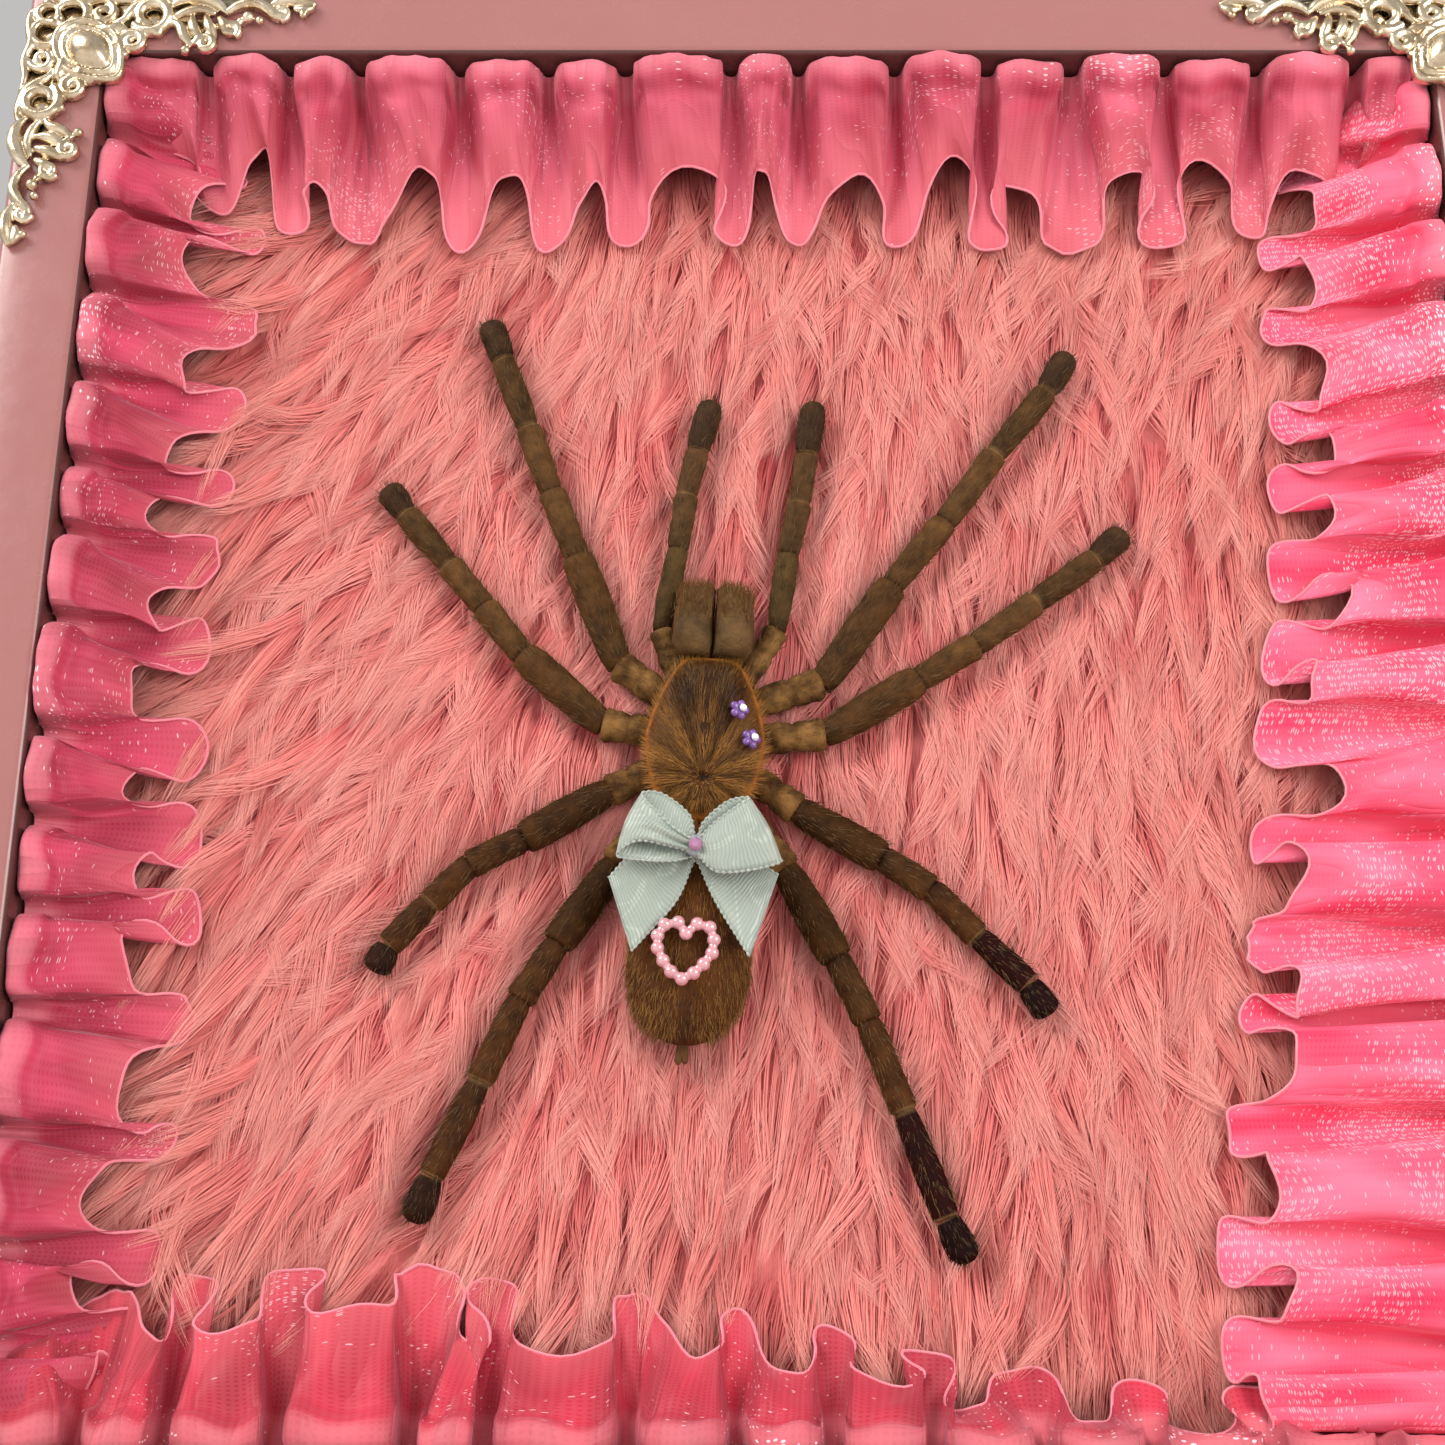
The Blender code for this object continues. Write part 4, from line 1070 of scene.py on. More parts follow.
# %% [markdown]
# ## Ruffles
#
# Four strips of crisp organza are gathered along the walls of the opening. Each pleat rolls over at the
# wall, runs inwards and opens into a loop: its crest arches forward and ends in a finger of hem near the
# wall, and between two crests the hem lies down on the fur. A cloth simulation would find other folds each
# time, so the strip is a formula over two cloth coordinates, wave along the side and share from header to
# hem, with each wave's own pitch, lean and height drawn from a seeded list. It is one thin sheet.

# %% Paths of a crest and of a trough
SHARES = [0.0, 0.08, 0.20, 0.34, 0.50, 0.75, 1.0]
CREST_IN = [0.1, 0.25, 3.3, 4.6, 7.0, 10.2, 13.4]
CREST_Y = [-11.0, -15.0, -15.0, -12.8, -12.0, -9.6, -6.0]
TROUGH_IN = [0.8, 1.2, 4.4, 8.2, 12.4, 18.2, 24.0]
TROUGH_Y = [-9.4, -8.4, -6.6, -5.2, -4.2, -3.2, -2.4]
FULL_WIDTH = 24.0
WAVE_PITCH = 13.5
CLOTH_PER_WAVE = 0.0215          # metres of cloth gathered into one pleat
CAP_WIDTH = 0.0056               # cloth of a pleat from the wall to its crease
TINT_FROM, TINT_FULL = 0.013, 0.024      # cloth between which the tint of the pile comes in
FOLD_SHADE = 0.78                    # painted shade on the flank of a pleat, also for the cloth lying double
COLUMNS_PER_WAVE = 30
ROWS = 30


def per_crest(chance, waves, low, high):
    """One seeded value for each crest, changing smoothly in the troughs between them."""
    values = chance.uniform(low, high, waves + 3)

    def read(wave):
        index = np.clip(np.floor(wave + 0.5).astype(int), 0, waves + 1)
        weight = smooth_step(0.2, 0.8, wave + 0.5 - np.floor(wave + 0.5))
        return values[index] * (1 - weight) + values[index + 1] * weight

    return read


def kept_inside(along, inward, laps):
    """Draws a strip in at the corners of the box, where it passes the next strip by its laps."""
    half = INNER / MM
    room = np.maximum(1.5, half - np.abs(along) + np.where(along < 0, *laps))
    inward = room * np.tanh((np.maximum(inward, 0.1) / room) ** 2.5) ** 0.4
    return np.clip(along, 0.8 - half, half - 0.8), inward


# %% One ruffle as cloth
SIDES = {
    "ruffle_top": dict(
        widths=(24.5, 25.5, 28.0, 26.0, 26.5, 28.0, 26.5, 25.0), drops=(11.5, 11.0), laps=(6, 6),
        curl=(-0.2, 1.4), seed=3, place=lambda a, r: (a, MIDDLE_Z + INNER - r)),
    "ruffle_bottom": dict(
        widths=(20.5, 22.5, 23.5, 20.5, 17.0, 11.5, 8.5, 8.0, 9.0), drops=(6.5, 7.0, 5.0), laps=(8, 6),
        curl=(0.0, 1.5), seed=7, place=lambda a, r: (a, MIDDLE_Z - INNER + r)),
    "ruffle_left": dict(
        widths=(21.0, 21.5, 23.0, 21.5, 20.5, 22.5, 24.5, 25.0), drops=(8.0, 10.5, 10.0), laps=(8, 6),
        curl=(0.3, 1.7), seed=19, place=lambda a, r: (-INNER + r, MIDDLE_Z + a)),
    "ruffle_right": dict(
        widths=(48.0, 44.0, 37.5, 34.0, 29.5, 26.5, 26.5, 27.0), drops=(7.0, 9.0, 10.0, 11.0), laps=(45, 6),
        curl=(0.4, 2.0), seed=23, place=lambda a, r: (INNER - r, MIDDLE_Z + a)),
}


def crest_values(wave, waves, widths, drops, curl, seed):
    """The shift, reach, lean, height, overhang and spread of each crest, and the hem's width and drop."""
    chance = np.random.default_rng(seed)
    shift = per_crest(chance, waves, -2.6, 2.6)(wave + 0.5)
    reach = per_crest(chance, waves, -2.6, 2.6)(wave)
    lean = per_crest(chance, waves, -3.4, 3.4)(wave)
    height = per_crest(chance, waves, 0.88, 1.03)(wave)
    overhang = per_crest(chance, waves, *curl)(wave)
    spread = per_crest(chance, waves, -1.3, 1.1)(wave)
    width, drop = (np.interp(wave / waves, np.linspace(0, 1, len(row)), row) for row in (widths, drops))
    return shift, reach, lean, height, overhang, spread, width, drop


def crumpled(y, inward, turn, share, shift, lean, lift, grow):
    """Adds the small folds: tucks at the header, slack over the loops, and crumples down to the hem."""
    tuck = 1 - smooth_step(0.02, 0.30, share)
    y = y + 0.28 * tuck * np.sin(6 * turn + 3 * shift) * np.sin(turn / 2) ** 2
    slack = smooth_step(0.15, 0.5, share) * (1 - 0.5 * share)
    y += 0.45 * slack * np.sin(1.7 * turn + 7 * share + 4 * lean)
    y += 0.25 * slack * np.sin(3.1 * turn - 9 * share)
    crumple = smooth_step(0.05, 0.2, share) * (0.5 + lift / 2) * np.minimum(1, grow)
    inward = inward + crumple * 0.5 * np.sin(2.6 * turn + 5 * share + 3 * lean)
    inward += crumple * 0.4 * np.sin(4.3 * turn - 6 * share)
    return y, inward


def ruffle_points(widths, drops, laps, curl, seed, place):
    """Points (rows, columns, 3), the cloth map (rows, columns, 2) in metres, and the number of waves.

    widths are the reach of the hem along the side, drops are how far its crests stay behind it, laps are how
    far the strip passes the next one at each end, and curl is the range of how far a loop leans over. Until
    the last lines, all lengths are in millimetres.
    """
    half = INNER / MM
    waves = round(2 * half / WAVE_PITCH)
    wave = np.linspace(0, waves, waves * COLUMNS_PER_WAVE + 1)[None, :]
    share = np.linspace(0, 1, ROWS)[:, None]
    values = crest_values(wave, waves, widths, drops, curl, seed)
    shift, reach, lean, height, overhang, spread, width, drop = values
    grow = width / FULL_WIDTH
    turn = math.tau * wave
    crest = (1 - np.cos(turn)) / 2
    opened = smooth_step(0.12, 0.55, share)
    box = np.clip(0.5 + 0.62 * np.tanh((4.0 - 2.0 * opened) * (crest - 0.14 - 0.26 * opened)), 0, 1)
    lift = box + (crest - box) * smooth_step(0.35, 1.0, share)
    loop = 0.45 + overhang * (0.4 + 0.8 * share)
    narrow = -2.0 + (spread + 2.0) * smooth_step(0.12, 0.85, share)
    along = 2 * half / waves * wave - half + loop * np.sin(2 * turn) + narrow * np.sin(turn)
    along += shift + lean * share ** 1.3 * crest
    trough_in = curve_through(SHARES, TROUGH_IN, share) * grow
    hem_reach = width - drop + reach * np.minimum(1, grow) - CREST_IN[-1]
    crest_in = curve_through(SHARES, CREST_IN, share) + hem_reach * share ** 1.2
    inward = trough_in + (crest_in - trough_in) * lift
    trough_y = curve_through(SHARES, TROUGH_Y, share)
    crest_y = curve_through(SHARES, CREST_Y, share) * height
    y = trough_y + (crest_y - trough_y) * lift * (0.64 + 0.36 * crest)
    inward += 2.2 * lift * (1 - crest) * smooth_step(0.0, 0.06, share) * (1 - 0.8 * share)
    y, inward = crumpled(y, inward, turn, share, shift, lean, lift, grow)
    along, inward = kept_inside(along, inward, laps)
    x, z = place(along * MM, inward * MM)
    points = np.stack(np.broadcast_arrays(x, y * MM, z), axis=-1)
    cloth = np.stack(np.broadcast_arrays(wave * CLOTH_PER_WAVE, share * width * MM), axis=-1)
    return points, cloth, waves


TUBE_SEAM = FORWARD + np.array([0.0, 0.0, 0.15])     # never along a hem, so the rings don't turn over


def tube_along(name, line, radius, sides=6):
    """A closed thin tube along a line of points (n, 3). radius is a number or one for each point."""
    radius = np.broadcast_to(radius, len(line))[:, None, None]
    tangent = unit(np.gradient(line, axis=0))
    side = unit(np.cross(tangent, TUBE_SEAM))
    rise = np.cross(side, tangent)
    turn = np.linspace(0, math.tau, sides, endpoint=False)
    ring = side[:, None] * np.cos(turn)[None, :, None] + rise[:, None] * np.sin(turn)[None, :, None]
    body = (line[:, None] + radius * ring).reshape(-1, 3)
    points = np.concatenate([body, line[:1], line[-1:]])
    first, last = len(body), len(body) + 1
    end = len(line) * sides - sides
    faces = grid_faces(len(line), sides, closed=True).tolist()
    faces += [(first, (i + 1) % sides, i) for i in range(sides)]
    faces += [(last, end + i, end + (i + 1) % sides) for i in range(sides)]
    mesh = bpy.data.meshes.new(name)
    mesh.from_pydata(points.tolist(), [], faces)
    length = arc_length(line)
    reach = np.concatenate([np.repeat(length, sides), [0, length[-1]]])
    around = np.concatenate([np.tile(turn, len(line)), [0, 0]]) * radius.mean()
    corners = np.array([loop.vertex_index for loop in mesh.loops])
    return shown(name, mesh, np.stack([reach, around], axis=1)[corners])


# %% [markdown]
# ### Finish of the organza
#
# Organza is a sheer plain weave of stiff filament yarn. The flank of a pleat gets a painted shade, which also
# stands for its deeper colour where layers overlap, and in one layer over the fur it takes the tint of the
# pile. Alpha would show that at any angle, but each ray through the pleats would cost more, so both are tones
# over the cloth's map. The cap at the wall, where the cloth rolls over, is lightened by a painted sheen, and
# the yarns get painted glints in rows. Each side is a copy of one organza, painted lit on the right and
# painted darker in shade on the other three, most at the bottom. The hem is a dense roll of the same cloth
# with a satin thread, so it is paler.

# %% Organza finishes
# The cap tone is a painted sheen, where the cloth rolls over at the wall and the light grazes it.
CAP_SHEEN_TONE, PILE_TINT = paint(236, 150, 160), paint(230, 120, 124)
THREAD_TONE, THREAD_PITCH, THREAD_SHARE = paint(255, 150, 172), 0.0013, 0.12
# Glints are painted highlights in the base colour.
GLINT_TONE, GLINT_SIZE, GLINT_DRIFT = (1.0, 0.74, 0.82), 0.00032, 75.0
SHEEN_TONE = (1.0, 0.55, 0.68)


def organza_finish(name, dark, light, amount, glitter_reach, tint=0.35):
    """Cloth between two tones. Its map is in metres. Its start is the cap at the wall, with a painted sheen.

    amount is the share of threads that get a painted glint, fading to glitter_reach, and tint is how far
    the pile tints the cloth near the hem.
    """
    made, tree, shader = new_finish(name, Roughness=0.55, Sheen_Weight=0.35, Sheen_Roughness=0.45,
                                    Sheen_Tint=SHEEN_TONE, Specular_IOR_Level=0.3)
    place, along, down = surface_map(tree)
    folds = add(tree, "ShaderNodeTexNoise", {"Scale": 0.8, "Detail": 1.0})
    wire(tree, scaled(tree, place, (300.0, 55.0, 1.0)), folds.inputs["Vector"])
    cloth = ramp(tree, folds.outputs["Fac"], [(0.32, dark), (0.68, light)])
    # Painted sheen: the cap at the wall is lightened towards the cap tone.
    cap = ramp(tree, math_node(tree, "DIVIDE", down, CAP_WIDTH),
               [(0.0, grey(0.46)), (0.7, grey(0.36)), (1.0, grey(0.0))])
    cloth = blend_colours(tree, cap, cloth, CAP_SHEEN_TONE)
    past = math_node(tree, "SUBTRACT", down, TINT_FROM)
    single = math_node(tree, "DIVIDE", past, TINT_FULL - TINT_FROM, clamp=True)
    # Painted shade on the flanks of the pleats, which also stands for doubled cloth, weaker towards the hem.
    turns = math_node(tree, "MULTIPLY", along, math.tau / CLOTH_PER_WAVE)
    flank = math_node(tree, "POWER", math_node(tree, "ABSOLUTE", math_node(tree, "SINE", turns)), 2.0)
    depth = math_node(tree, "SUBTRACT", 0.6, math_node(tree, "MULTIPLY", single, 0.5))
    fold_shade_and_double = math_node(tree, "MULTIPLY", flank, depth)
    cloth = blend_colours(tree, fold_shade_and_double, cloth, tuple(FOLD_SHADE * value for value in dark))
    cloth = blend_colours(tree, math_node(tree, "MULTIPLY", single, tint), cloth, PILE_TINT)
    weave = use_group(tree, WEAVE, Vector=place, Pitch=THREAD_PITCH).outputs["Height"]
    cloth = blend_colours(tree, math_node(tree, "MULTIPLY", weave, THREAD_SHARE), cloth, THREAD_TONE)
    # Painted glints: bright specks mixed into the base colour, weaker away from the wall.
    glint = use_group(tree, SPARKLE, Vector=scaled(tree, place, (0.45, 0.95, 1.0)), Speck=GLINT_SIZE,
                      Amount=amount, Drift=GLINT_DRIFT)
    fade = ramp(tree, math_node(tree, "DIVIDE", down, glitter_reach), [(0.0, grey(1.0)), (1.0, grey(0.45))])
    bright = math_node(tree, "MULTIPLY", glint.outputs["Mask"], fade)
    wire(tree, blend_colours(tree, bright, cloth, GLINT_TONE), shader.inputs["Base Color"])
    crease = math_node(tree, "ABSOLUTE", math_node(tree, "SUBTRACT", folds.outputs["Fac"], 0.5))
    bump(tree, shader, math_node(tree, "POWER", crease, 0.6), 0.6, 0.0014)
    return made


def hem_finish():
    made, tree, shader = new_finish("rolled hem", Roughness=0.38, Sheen_Weight=0.4, Sheen_Roughness=0.4)
    place, _, _ = surface_map(tree)
    stitch = use_group(tree, WEAVE, Vector=place, Pitch=0.0006)
    tone = ramp(tree, stitch.outputs["Height"], [(0.0, paint(222, 92, 116)), (1.0, paint(246, 146, 162))])
    wire(tree, tone, shader.inputs["Base Color"])
    bump(tree, shader, stitch.outputs["Height"], 0.5, 0.00015)
    return made


# %% Make the four ruffles
HEM_RADIUS = 0.22 * MM
# Copies of one organza: the right is painted lit, with more glints, and the other three are painted darker in
# shade, the bottom most.
ORGANZA = {
    "ruffle_top": organza_finish("top organza, painted shade", paint(170, 24, 56), paint(224, 100, 124), 0.05, 0.008),
    "ruffle_left": organza_finish("deep pink organza", paint(152, 6, 42), paint(212, 56, 94), 0.05, 0.008),
    "ruffle_bottom": organza_finish("bottom organza, painted deep shade", paint(154, 2, 30), paint(204, 28, 58), 0.04, 0.006),
    "ruffle_right": organza_finish("right organza, painted light", paint(228, 28, 78), paint(255, 118, 150), 0.42,
                                   0.024, tint=0.0)}
HEM = hem_finish()
for name, side in SIDES.items():
    points, cloth, waves = ruffle_points(**side)
    sheet = grid_mesh(name + "_cloth", points, cloth)
    hem = tube_along(name + "_hem", points[-1], HEM_RADIUS)
    dress(sheet, ORGANZA[name], "organza", name)
    dress(hem, HEM, "organza")


# %% [markdown]
# ## Tarantula
#
# The dried specimen is hollow chitin under a coat of short bristles. Each leg is a row of shells that flare
# at their far end over the narrower start of the next one, with a pale rim at the joint. Metaballs or a skin
# modifier would melt those joints together, so each segment is its own lofted shell and a leg is all of them
# joined as one piece. Bristles are thin strips that point towards the foot.

# %% Places on the specimen
def on_specimen(across, up, y):
    """A point given in millimetres from the middle of the carapace, in metres."""
    return np.array([SPECIMEN_X + across * MM, y * MM, SPECIMEN_Z + up * MM])


def on_body(across, along, y):
    """The same, on the body's leaning axis."""
    return on_specimen(*leaned(across, along), y)


def body_points(across, along, y):
    """on_body for arrays of any one shape, which gets a last axis of 3."""
    across, up = leaned(across, along)
    return np.stack([SPECIMEN_X + across * MM, y * MM, SPECIMEN_Z + up * MM], axis=-1)


def roughened(points, centres, amount, scale, seed):
    """Points moved out from or in towards their centres by smooth noise."""
    flat = points.reshape(-1, 3)
    waves = np.array([noise.noise(Vector(point * scale) + Vector((seed, 0, 0))) for point in flat])
    return points + unit(points - centres) * (amount * waves).reshape(points.shape[:-1])[..., None]


# %% Limb segments
LEG_WIDTHS = [4.2, 3.9, 4.0, 4.2, 4.9, 4.4]
LEG_DEPTHS = [-0.9, -1.1, -1.3, -1.5, -1.7, -1.2, -0.6]
PALP_WIDTHS = [4.1, 3.5, 3.6, 3.3, 3.4]
PALP_DEPTHS = [-0.8, -1.0, -1.2, -1.3, -0.7, 0.1]
THICKNESS = 0.84
LIMB_SIDES = 20
TARSUS = [(0.0, .30), (.025, .52), (.07, .76), (.16, .94), (.40, 1.0), (.68, .95), (.88, .85), (.98, .74)]
SHANK = [(0.0, .74), (.015, .90), (.06, .95), (.2, .98), (.5, 1.0), (.78, .92), (.93, .84), (1.02, .72)]
TIBIA = [(0.0, .78), (.02, .94), (.08, .99), (.22, .97), (.5, .96), (.8, .93), (.94, .90), (1.03, .78)]
FEMUR = [(0.0, .74), (.02, .92), (.08, .98), (.28, 1.03), (.5, 1.02), (.78, .94), (.94, .86), (1.02, .74)]
HIP = [(0.0, .80), (.03, 1.0), (.20, 1.03), (.38, .98), (.44, .86), (.50, .98), (.72, 1.0), (.97, .74)]
LEG_PROFILES = [TARSUS, SHANK, TIBIA, TIBIA, FEMUR, HIP]
PALP_PROFILES = [TARSUS, TIBIA, TIBIA, FEMUR, HIP]
DENTS, PORES = (0.16 * MM, 420), (0.10 * MM, 1300)        # height and fineness of the roughness of a shell


def segment_frame(start, end):
    """Unit vectors of a segment: along it to the body, across it on the panel, and out to the front."""
    along = unit(end - start)
    across = unit(np.cross(along, FORWARD))
    return along, across, np.cross(across, along)


def segment_shell(name, start, end, width, profile, index, seed):
    """One segment of a limb from its far end to its end at the body."""
    _, across, out = segment_frame(start, end)
    knots = np.array([share for share, _ in profile])
    parts = np.array([part for _, part in profile])
    shares = np.unique(np.concatenate([knots, np.linspace(knots[0], knots[-1], 14)]))
    radii = curve_through(knots, parts, shares) * width / 2 * MM
    turn = np.linspace(0, math.tau, LIMB_SIDES, endpoint=False)
    ring = across * np.cos(turn)[:, None] + out * THICKNESS * np.sin(turn)[:, None]
    centres = (start + shares[:, None] * (end - start))[:, None]
    rings = centres + radii[:, None, None] * ring
    for amount, scale in (DENTS, PORES):
        rings = roughened(rings, centres, amount, scale, seed)
    return loft(name, rings, index + np.clip(shares, 0.0, 0.999))


def limb_parts(name):
    """(start, end, width, profile) of each segment of a limb, from its tip to its hip, in metres."""
    palp = name.startswith("palp")
    widths, profiles = (PALP_WIDTHS, PALP_PROFILES) if palp else (LEG_WIDTHS, LEG_PROFILES)
    depths = PALP_DEPTHS if palp else LEG_DEPTHS
    joints = np.array([on_specimen(*spot, y) for spot, y in zip(limb_line(name), depths)])
    return list(zip(joints, joints[1:], widths, profiles))


def name_seed(name):
    return sum(map(ord, name))


def build_limb(name):
    seed = name_seed(name) % 97
    shells = [segment_shell(f"{name}_{index}", *part, index, seed + index)
              for index, part in enumerate(limb_parts(name))]
    return join(shells, name + "_shell")


# %% Bristles on the limbs
BRISTLE_SHARES = np.array([0.0, 0.5, 1.0])
BRISTLE_TAPER = np.array([1.0, 0.8])
FOOT_DENSITY, LEG_DENSITY = 6.5, 3.6      # bristles on a square millimetre of the shell's outline


def bristle_strips(name, roots, directions, lengths, widths, bend, tone, seed):
    """Bristles as strips of three triangles, each bent along bend by a part of its length."""
    chance = np.random.default_rng(seed)
    centres = roots[:, None] + directions[:, None] * (lengths[:, None] * BRISTLE_SHARES)[..., None]
    centres += bend[:, None] * (lengths[:, None] * BRISTLE_SHARES ** 2)[..., None]
    turn = chance.uniform(-0.9, 0.9, len(roots))
    return fibre_strips(name, centres, widths[:, None] * BRISTLE_TAPER[None], turn, tone)


def limb_bristles(name):
    """Bristles over one limb, pointing to its tip and out a little, denser on the foot."""
    chance = np.random.default_rng(name_seed(name))
    roots, directions, lengths, tones = [], [], [], []
    for index, (start, end, width, profile) in enumerate(limb_parts(name)):
        along, across, out = segment_frame(start, end)
        foot = index == 0
        count = int(np.linalg.norm(end - start) / MM * width * (FOOT_DENSITY if foot else LEG_DENSITY))
        share = chance.uniform(0.0, 0.97, count)
        turn = chance.uniform(-0.35, math.pi + 0.35, count)
        radius = np.interp(share, *np.transpose(profile)) * width / 2 * MM
        away = across * np.cos(turn)[:, None] + out * np.sin(turn)[:, None]
        flat = across * np.cos(turn)[:, None] + out * (THICKNESS * np.sin(turn))[:, None]
        roots.append(start + share[:, None] * (end - start) + flat * (radius * 0.97)[:, None])
        direction = -along + away * chance.uniform(0.15, 0.65, count)[:, None]
        directions.append(unit(direction + chance.normal(0, 0.12, (count, 3))))
        lengths.append(chance.uniform(0.8, 2.0, count) * (0.8 if foot else 1.0) * MM)
        tones.append(np.clip(chance.normal(0.30 if foot else 0.55, 0.16, count), 0, 1))
    roots, directions = np.concatenate(roots), np.concatenate(directions)
    lengths, tones = np.concatenate(lengths), np.concatenate(tones)
    widths = chance.uniform(0.045, 0.085, len(roots)) * MM
    bend = np.cross(directions, chance.normal(0, 1, (len(roots), 3))) * 0.08
    return bristle_strips(name + "_bristles", roots, directions, lengths, widths, bend, tones, 5)


# %% [markdown]
# ### Carapace, abdomen and jaws
#
# The carapace is a low shield. Its raised head runs to a V behind the eyes, furrows spread from the pit in
# its middle towards each leg, and its rim turns out. That relief is a height formula over the shield, kept
# as an attribute so that the finish can darken the furrows. The abdomen is an egg that shrank a little as it
# dried, and the jaws are two blunt, rounded blocks.

# %% Carapace
CARAPACE_MIDDLE, CARAPACE_REACH, CARAPACE_HALF = -2.65, 12.35, 8.65
CARAPACE_SIDES, CARAPACE_ROWS = 104, 44
FOVEA = -9.0                     # place along the body of the pit in its middle
FURROW_HEADINGS = (0.95, 1.5, 2.05, 2.65)        # radians away from the head, on either side
UNDERSIDE = [(0.985, -2.5), (0.90, -2.2), (0.74, -1.0), (0.60, 0.7), (0.35, 1.15), (0.03, 1.2)]   # share, y


def carapace_outline(turn, share):
    """(across, along) on the shield for an angle and a share of the way out to the rim."""
    along = np.sign(np.sin(turn)) * np.abs(np.sin(turn)) ** 0.8 * CARAPACE_REACH
    narrow = 1 - 0.24 * np.maximum(0, along / CARAPACE_REACH) - 0.12 * np.maximum(0, -along / CARAPACE_REACH)
    square = np.where(np.sin(turn) > 0, 0.8 - 0.34 * np.sin(turn) ** 2, 0.8)
    across = np.sign(np.cos(turn)) * np.abs(np.cos(turn)) ** square * CARAPACE_HALF * narrow
    return across * share, CARAPACE_MIDDLE + along * share


def carapace_relief(across, along):
    """Height of the head, the furrows and the eyes over the plain shield, in millimetres."""
    head_half = 0.6 + 4.2 * smooth_step(FOVEA + 1, 5.0, along)
    inside = smooth_step(head_half + 0.5, head_half - 0.9, np.abs(across))
    inside = inside * smooth_step(FOVEA, FOVEA + 4, along)
    groove = np.exp(-((np.abs(across) - head_half - 0.2) / 0.42) ** 2)
    groove = groove * smooth_step(FOVEA, FOVEA + 3, along) * smooth_step(8.5, 4.5, along)
    pit = np.exp(-(across / 1.2) ** 2 - ((along - FOVEA) / 0.6) ** 2)
    heading = np.arctan2(np.abs(across), along - FOVEA)
    reach = np.hypot(across, along - FOVEA)
    furrows = sum(np.exp(-((heading - angle) * reach / 0.5) ** 2) for angle in FURROW_HEADINGS)
    furrows = furrows * smooth_step(0.8, 2.5, reach) * smooth_step(10.5, 6.5, reach)
    eyes = np.exp(-(across / 1.15) ** 2 - ((along - 7.6) / 0.9) ** 2)
    return 0.4 * inside - 0.35 * groove - 0.8 * pit - 0.22 * furrows + 0.75 * eyes


def shield_y(across, along, share):
    """y in millimetres of the top of the shield, and its relief, where share is the way out to the rim."""
    relief = carapace_relief(across, along) * smooth_step(1.0, 0.86, share)
    dome = -3.3 - 3.85 * np.sqrt(np.maximum(0, 1 - share ** 2))
    brow = 0.7 * smooth_step(-2, 4, along) * smooth_step(0.95, 0.5, share)
    return dome - brow - relief, relief


def build_carapace():
    """The shield from its middle out to the rim, and back in along the underside."""
    turn = np.linspace(0, math.tau, CARAPACE_SIDES, endpoint=False)[None, :]
    share = np.sin(np.linspace(0.02, 1, CARAPACE_ROWS) * math.pi / 2)[:, None]
    across, along = carapace_outline(turn, share)
    top_y, relief = shield_y(across, along, share)
    raised_rim = 0.25 * np.exp(-((share - 0.97) / 0.03) ** 2)
    under_share, under_y = (np.array(column)[:, None] for column in zip(*UNDERSIDE))
    under_across, under_along = carapace_outline(turn, under_share)
    rings = body_points(np.concatenate([across, under_across]), np.concatenate([along, under_along]),
                        np.concatenate([top_y - raised_rim, under_y + 0 * turn]))
    rings = roughened(rings, on_body(0, CARAPACE_MIDDLE, 0), 0.10 * MM, 900, 2.0)
    way = np.concatenate([share[:, 0], 1 + 0.1 * np.arange(len(under_share))])
    shell = loft("carapace_shell", rings, way)
    depth = np.concatenate([relief.ravel(), np.zeros(under_across.size + 2)])
    layer = shell.data.attributes.new(name="relief", type="FLOAT", domain="POINT")
    layer.data.foreach_set("value", depth.astype(np.float32))
    return shell


# %% Abdomen, spinnerets and jaws
ABDOMEN_FRONT, ABDOMEN_END, ABDOMEN_WIDEST = -15.4, -46.3, 0.64
ABDOMEN_HALF, ABDOMEN_DEPTH, ABDOMEN_Y = 8.35, 4.85, -3.65


def abdomen_spot(share, turn):
    """A point of the egg for a share of its length and an angle round it, in millimetres."""
    side = np.where(share < ABDOMEN_WIDEST, (ABDOMEN_WIDEST - share) / ABDOMEN_WIDEST,
                    (share - ABDOMEN_WIDEST) / (1 - ABDOMEN_WIDEST))
    swell = np.sqrt(np.maximum(0, 1 - side ** 2.2))
    along = ABDOMEN_FRONT + share * (ABDOMEN_END - ABDOMEN_FRONT)
    across = ABDOMEN_HALF * swell * np.cos(turn)
    y = ABDOMEN_Y - ABDOMEN_DEPTH * swell * np.sin(turn)
    return across, along, y


def build_abdomen():
    share = (1 - np.cos(np.linspace(0.02, 0.98, 44) * math.pi))[:, None] / 2
    turn = np.linspace(0, math.tau, 48, endpoint=False)[None, :]
    across, along, y = abdomen_spot(share, turn)
    along = along + 0 * turn
    crease = 0.35 * np.exp(-(across / 0.8) ** 2) * smooth_step(0.78, 0.95, share) * (np.sin(turn) > 0)
    rings = body_points(across, along, y + crease)
    centres = body_points(0 * along, along, ABDOMEN_Y + 0 * along)
    rings = roughened(rings, centres, 0.30 * MM, 330, 4.0)
    rings = roughened(rings, centres, 0.16 * MM, 900, 9.0)
    return loft("abdomen_skin", rings, np.linspace(0, 1, len(share)))


SPINNERETS = [(-0.45, -48.9, 1.0), (0.5, -48.7, 1.0), (0.0, -48.0, 1.2)]     # across, tip along, width


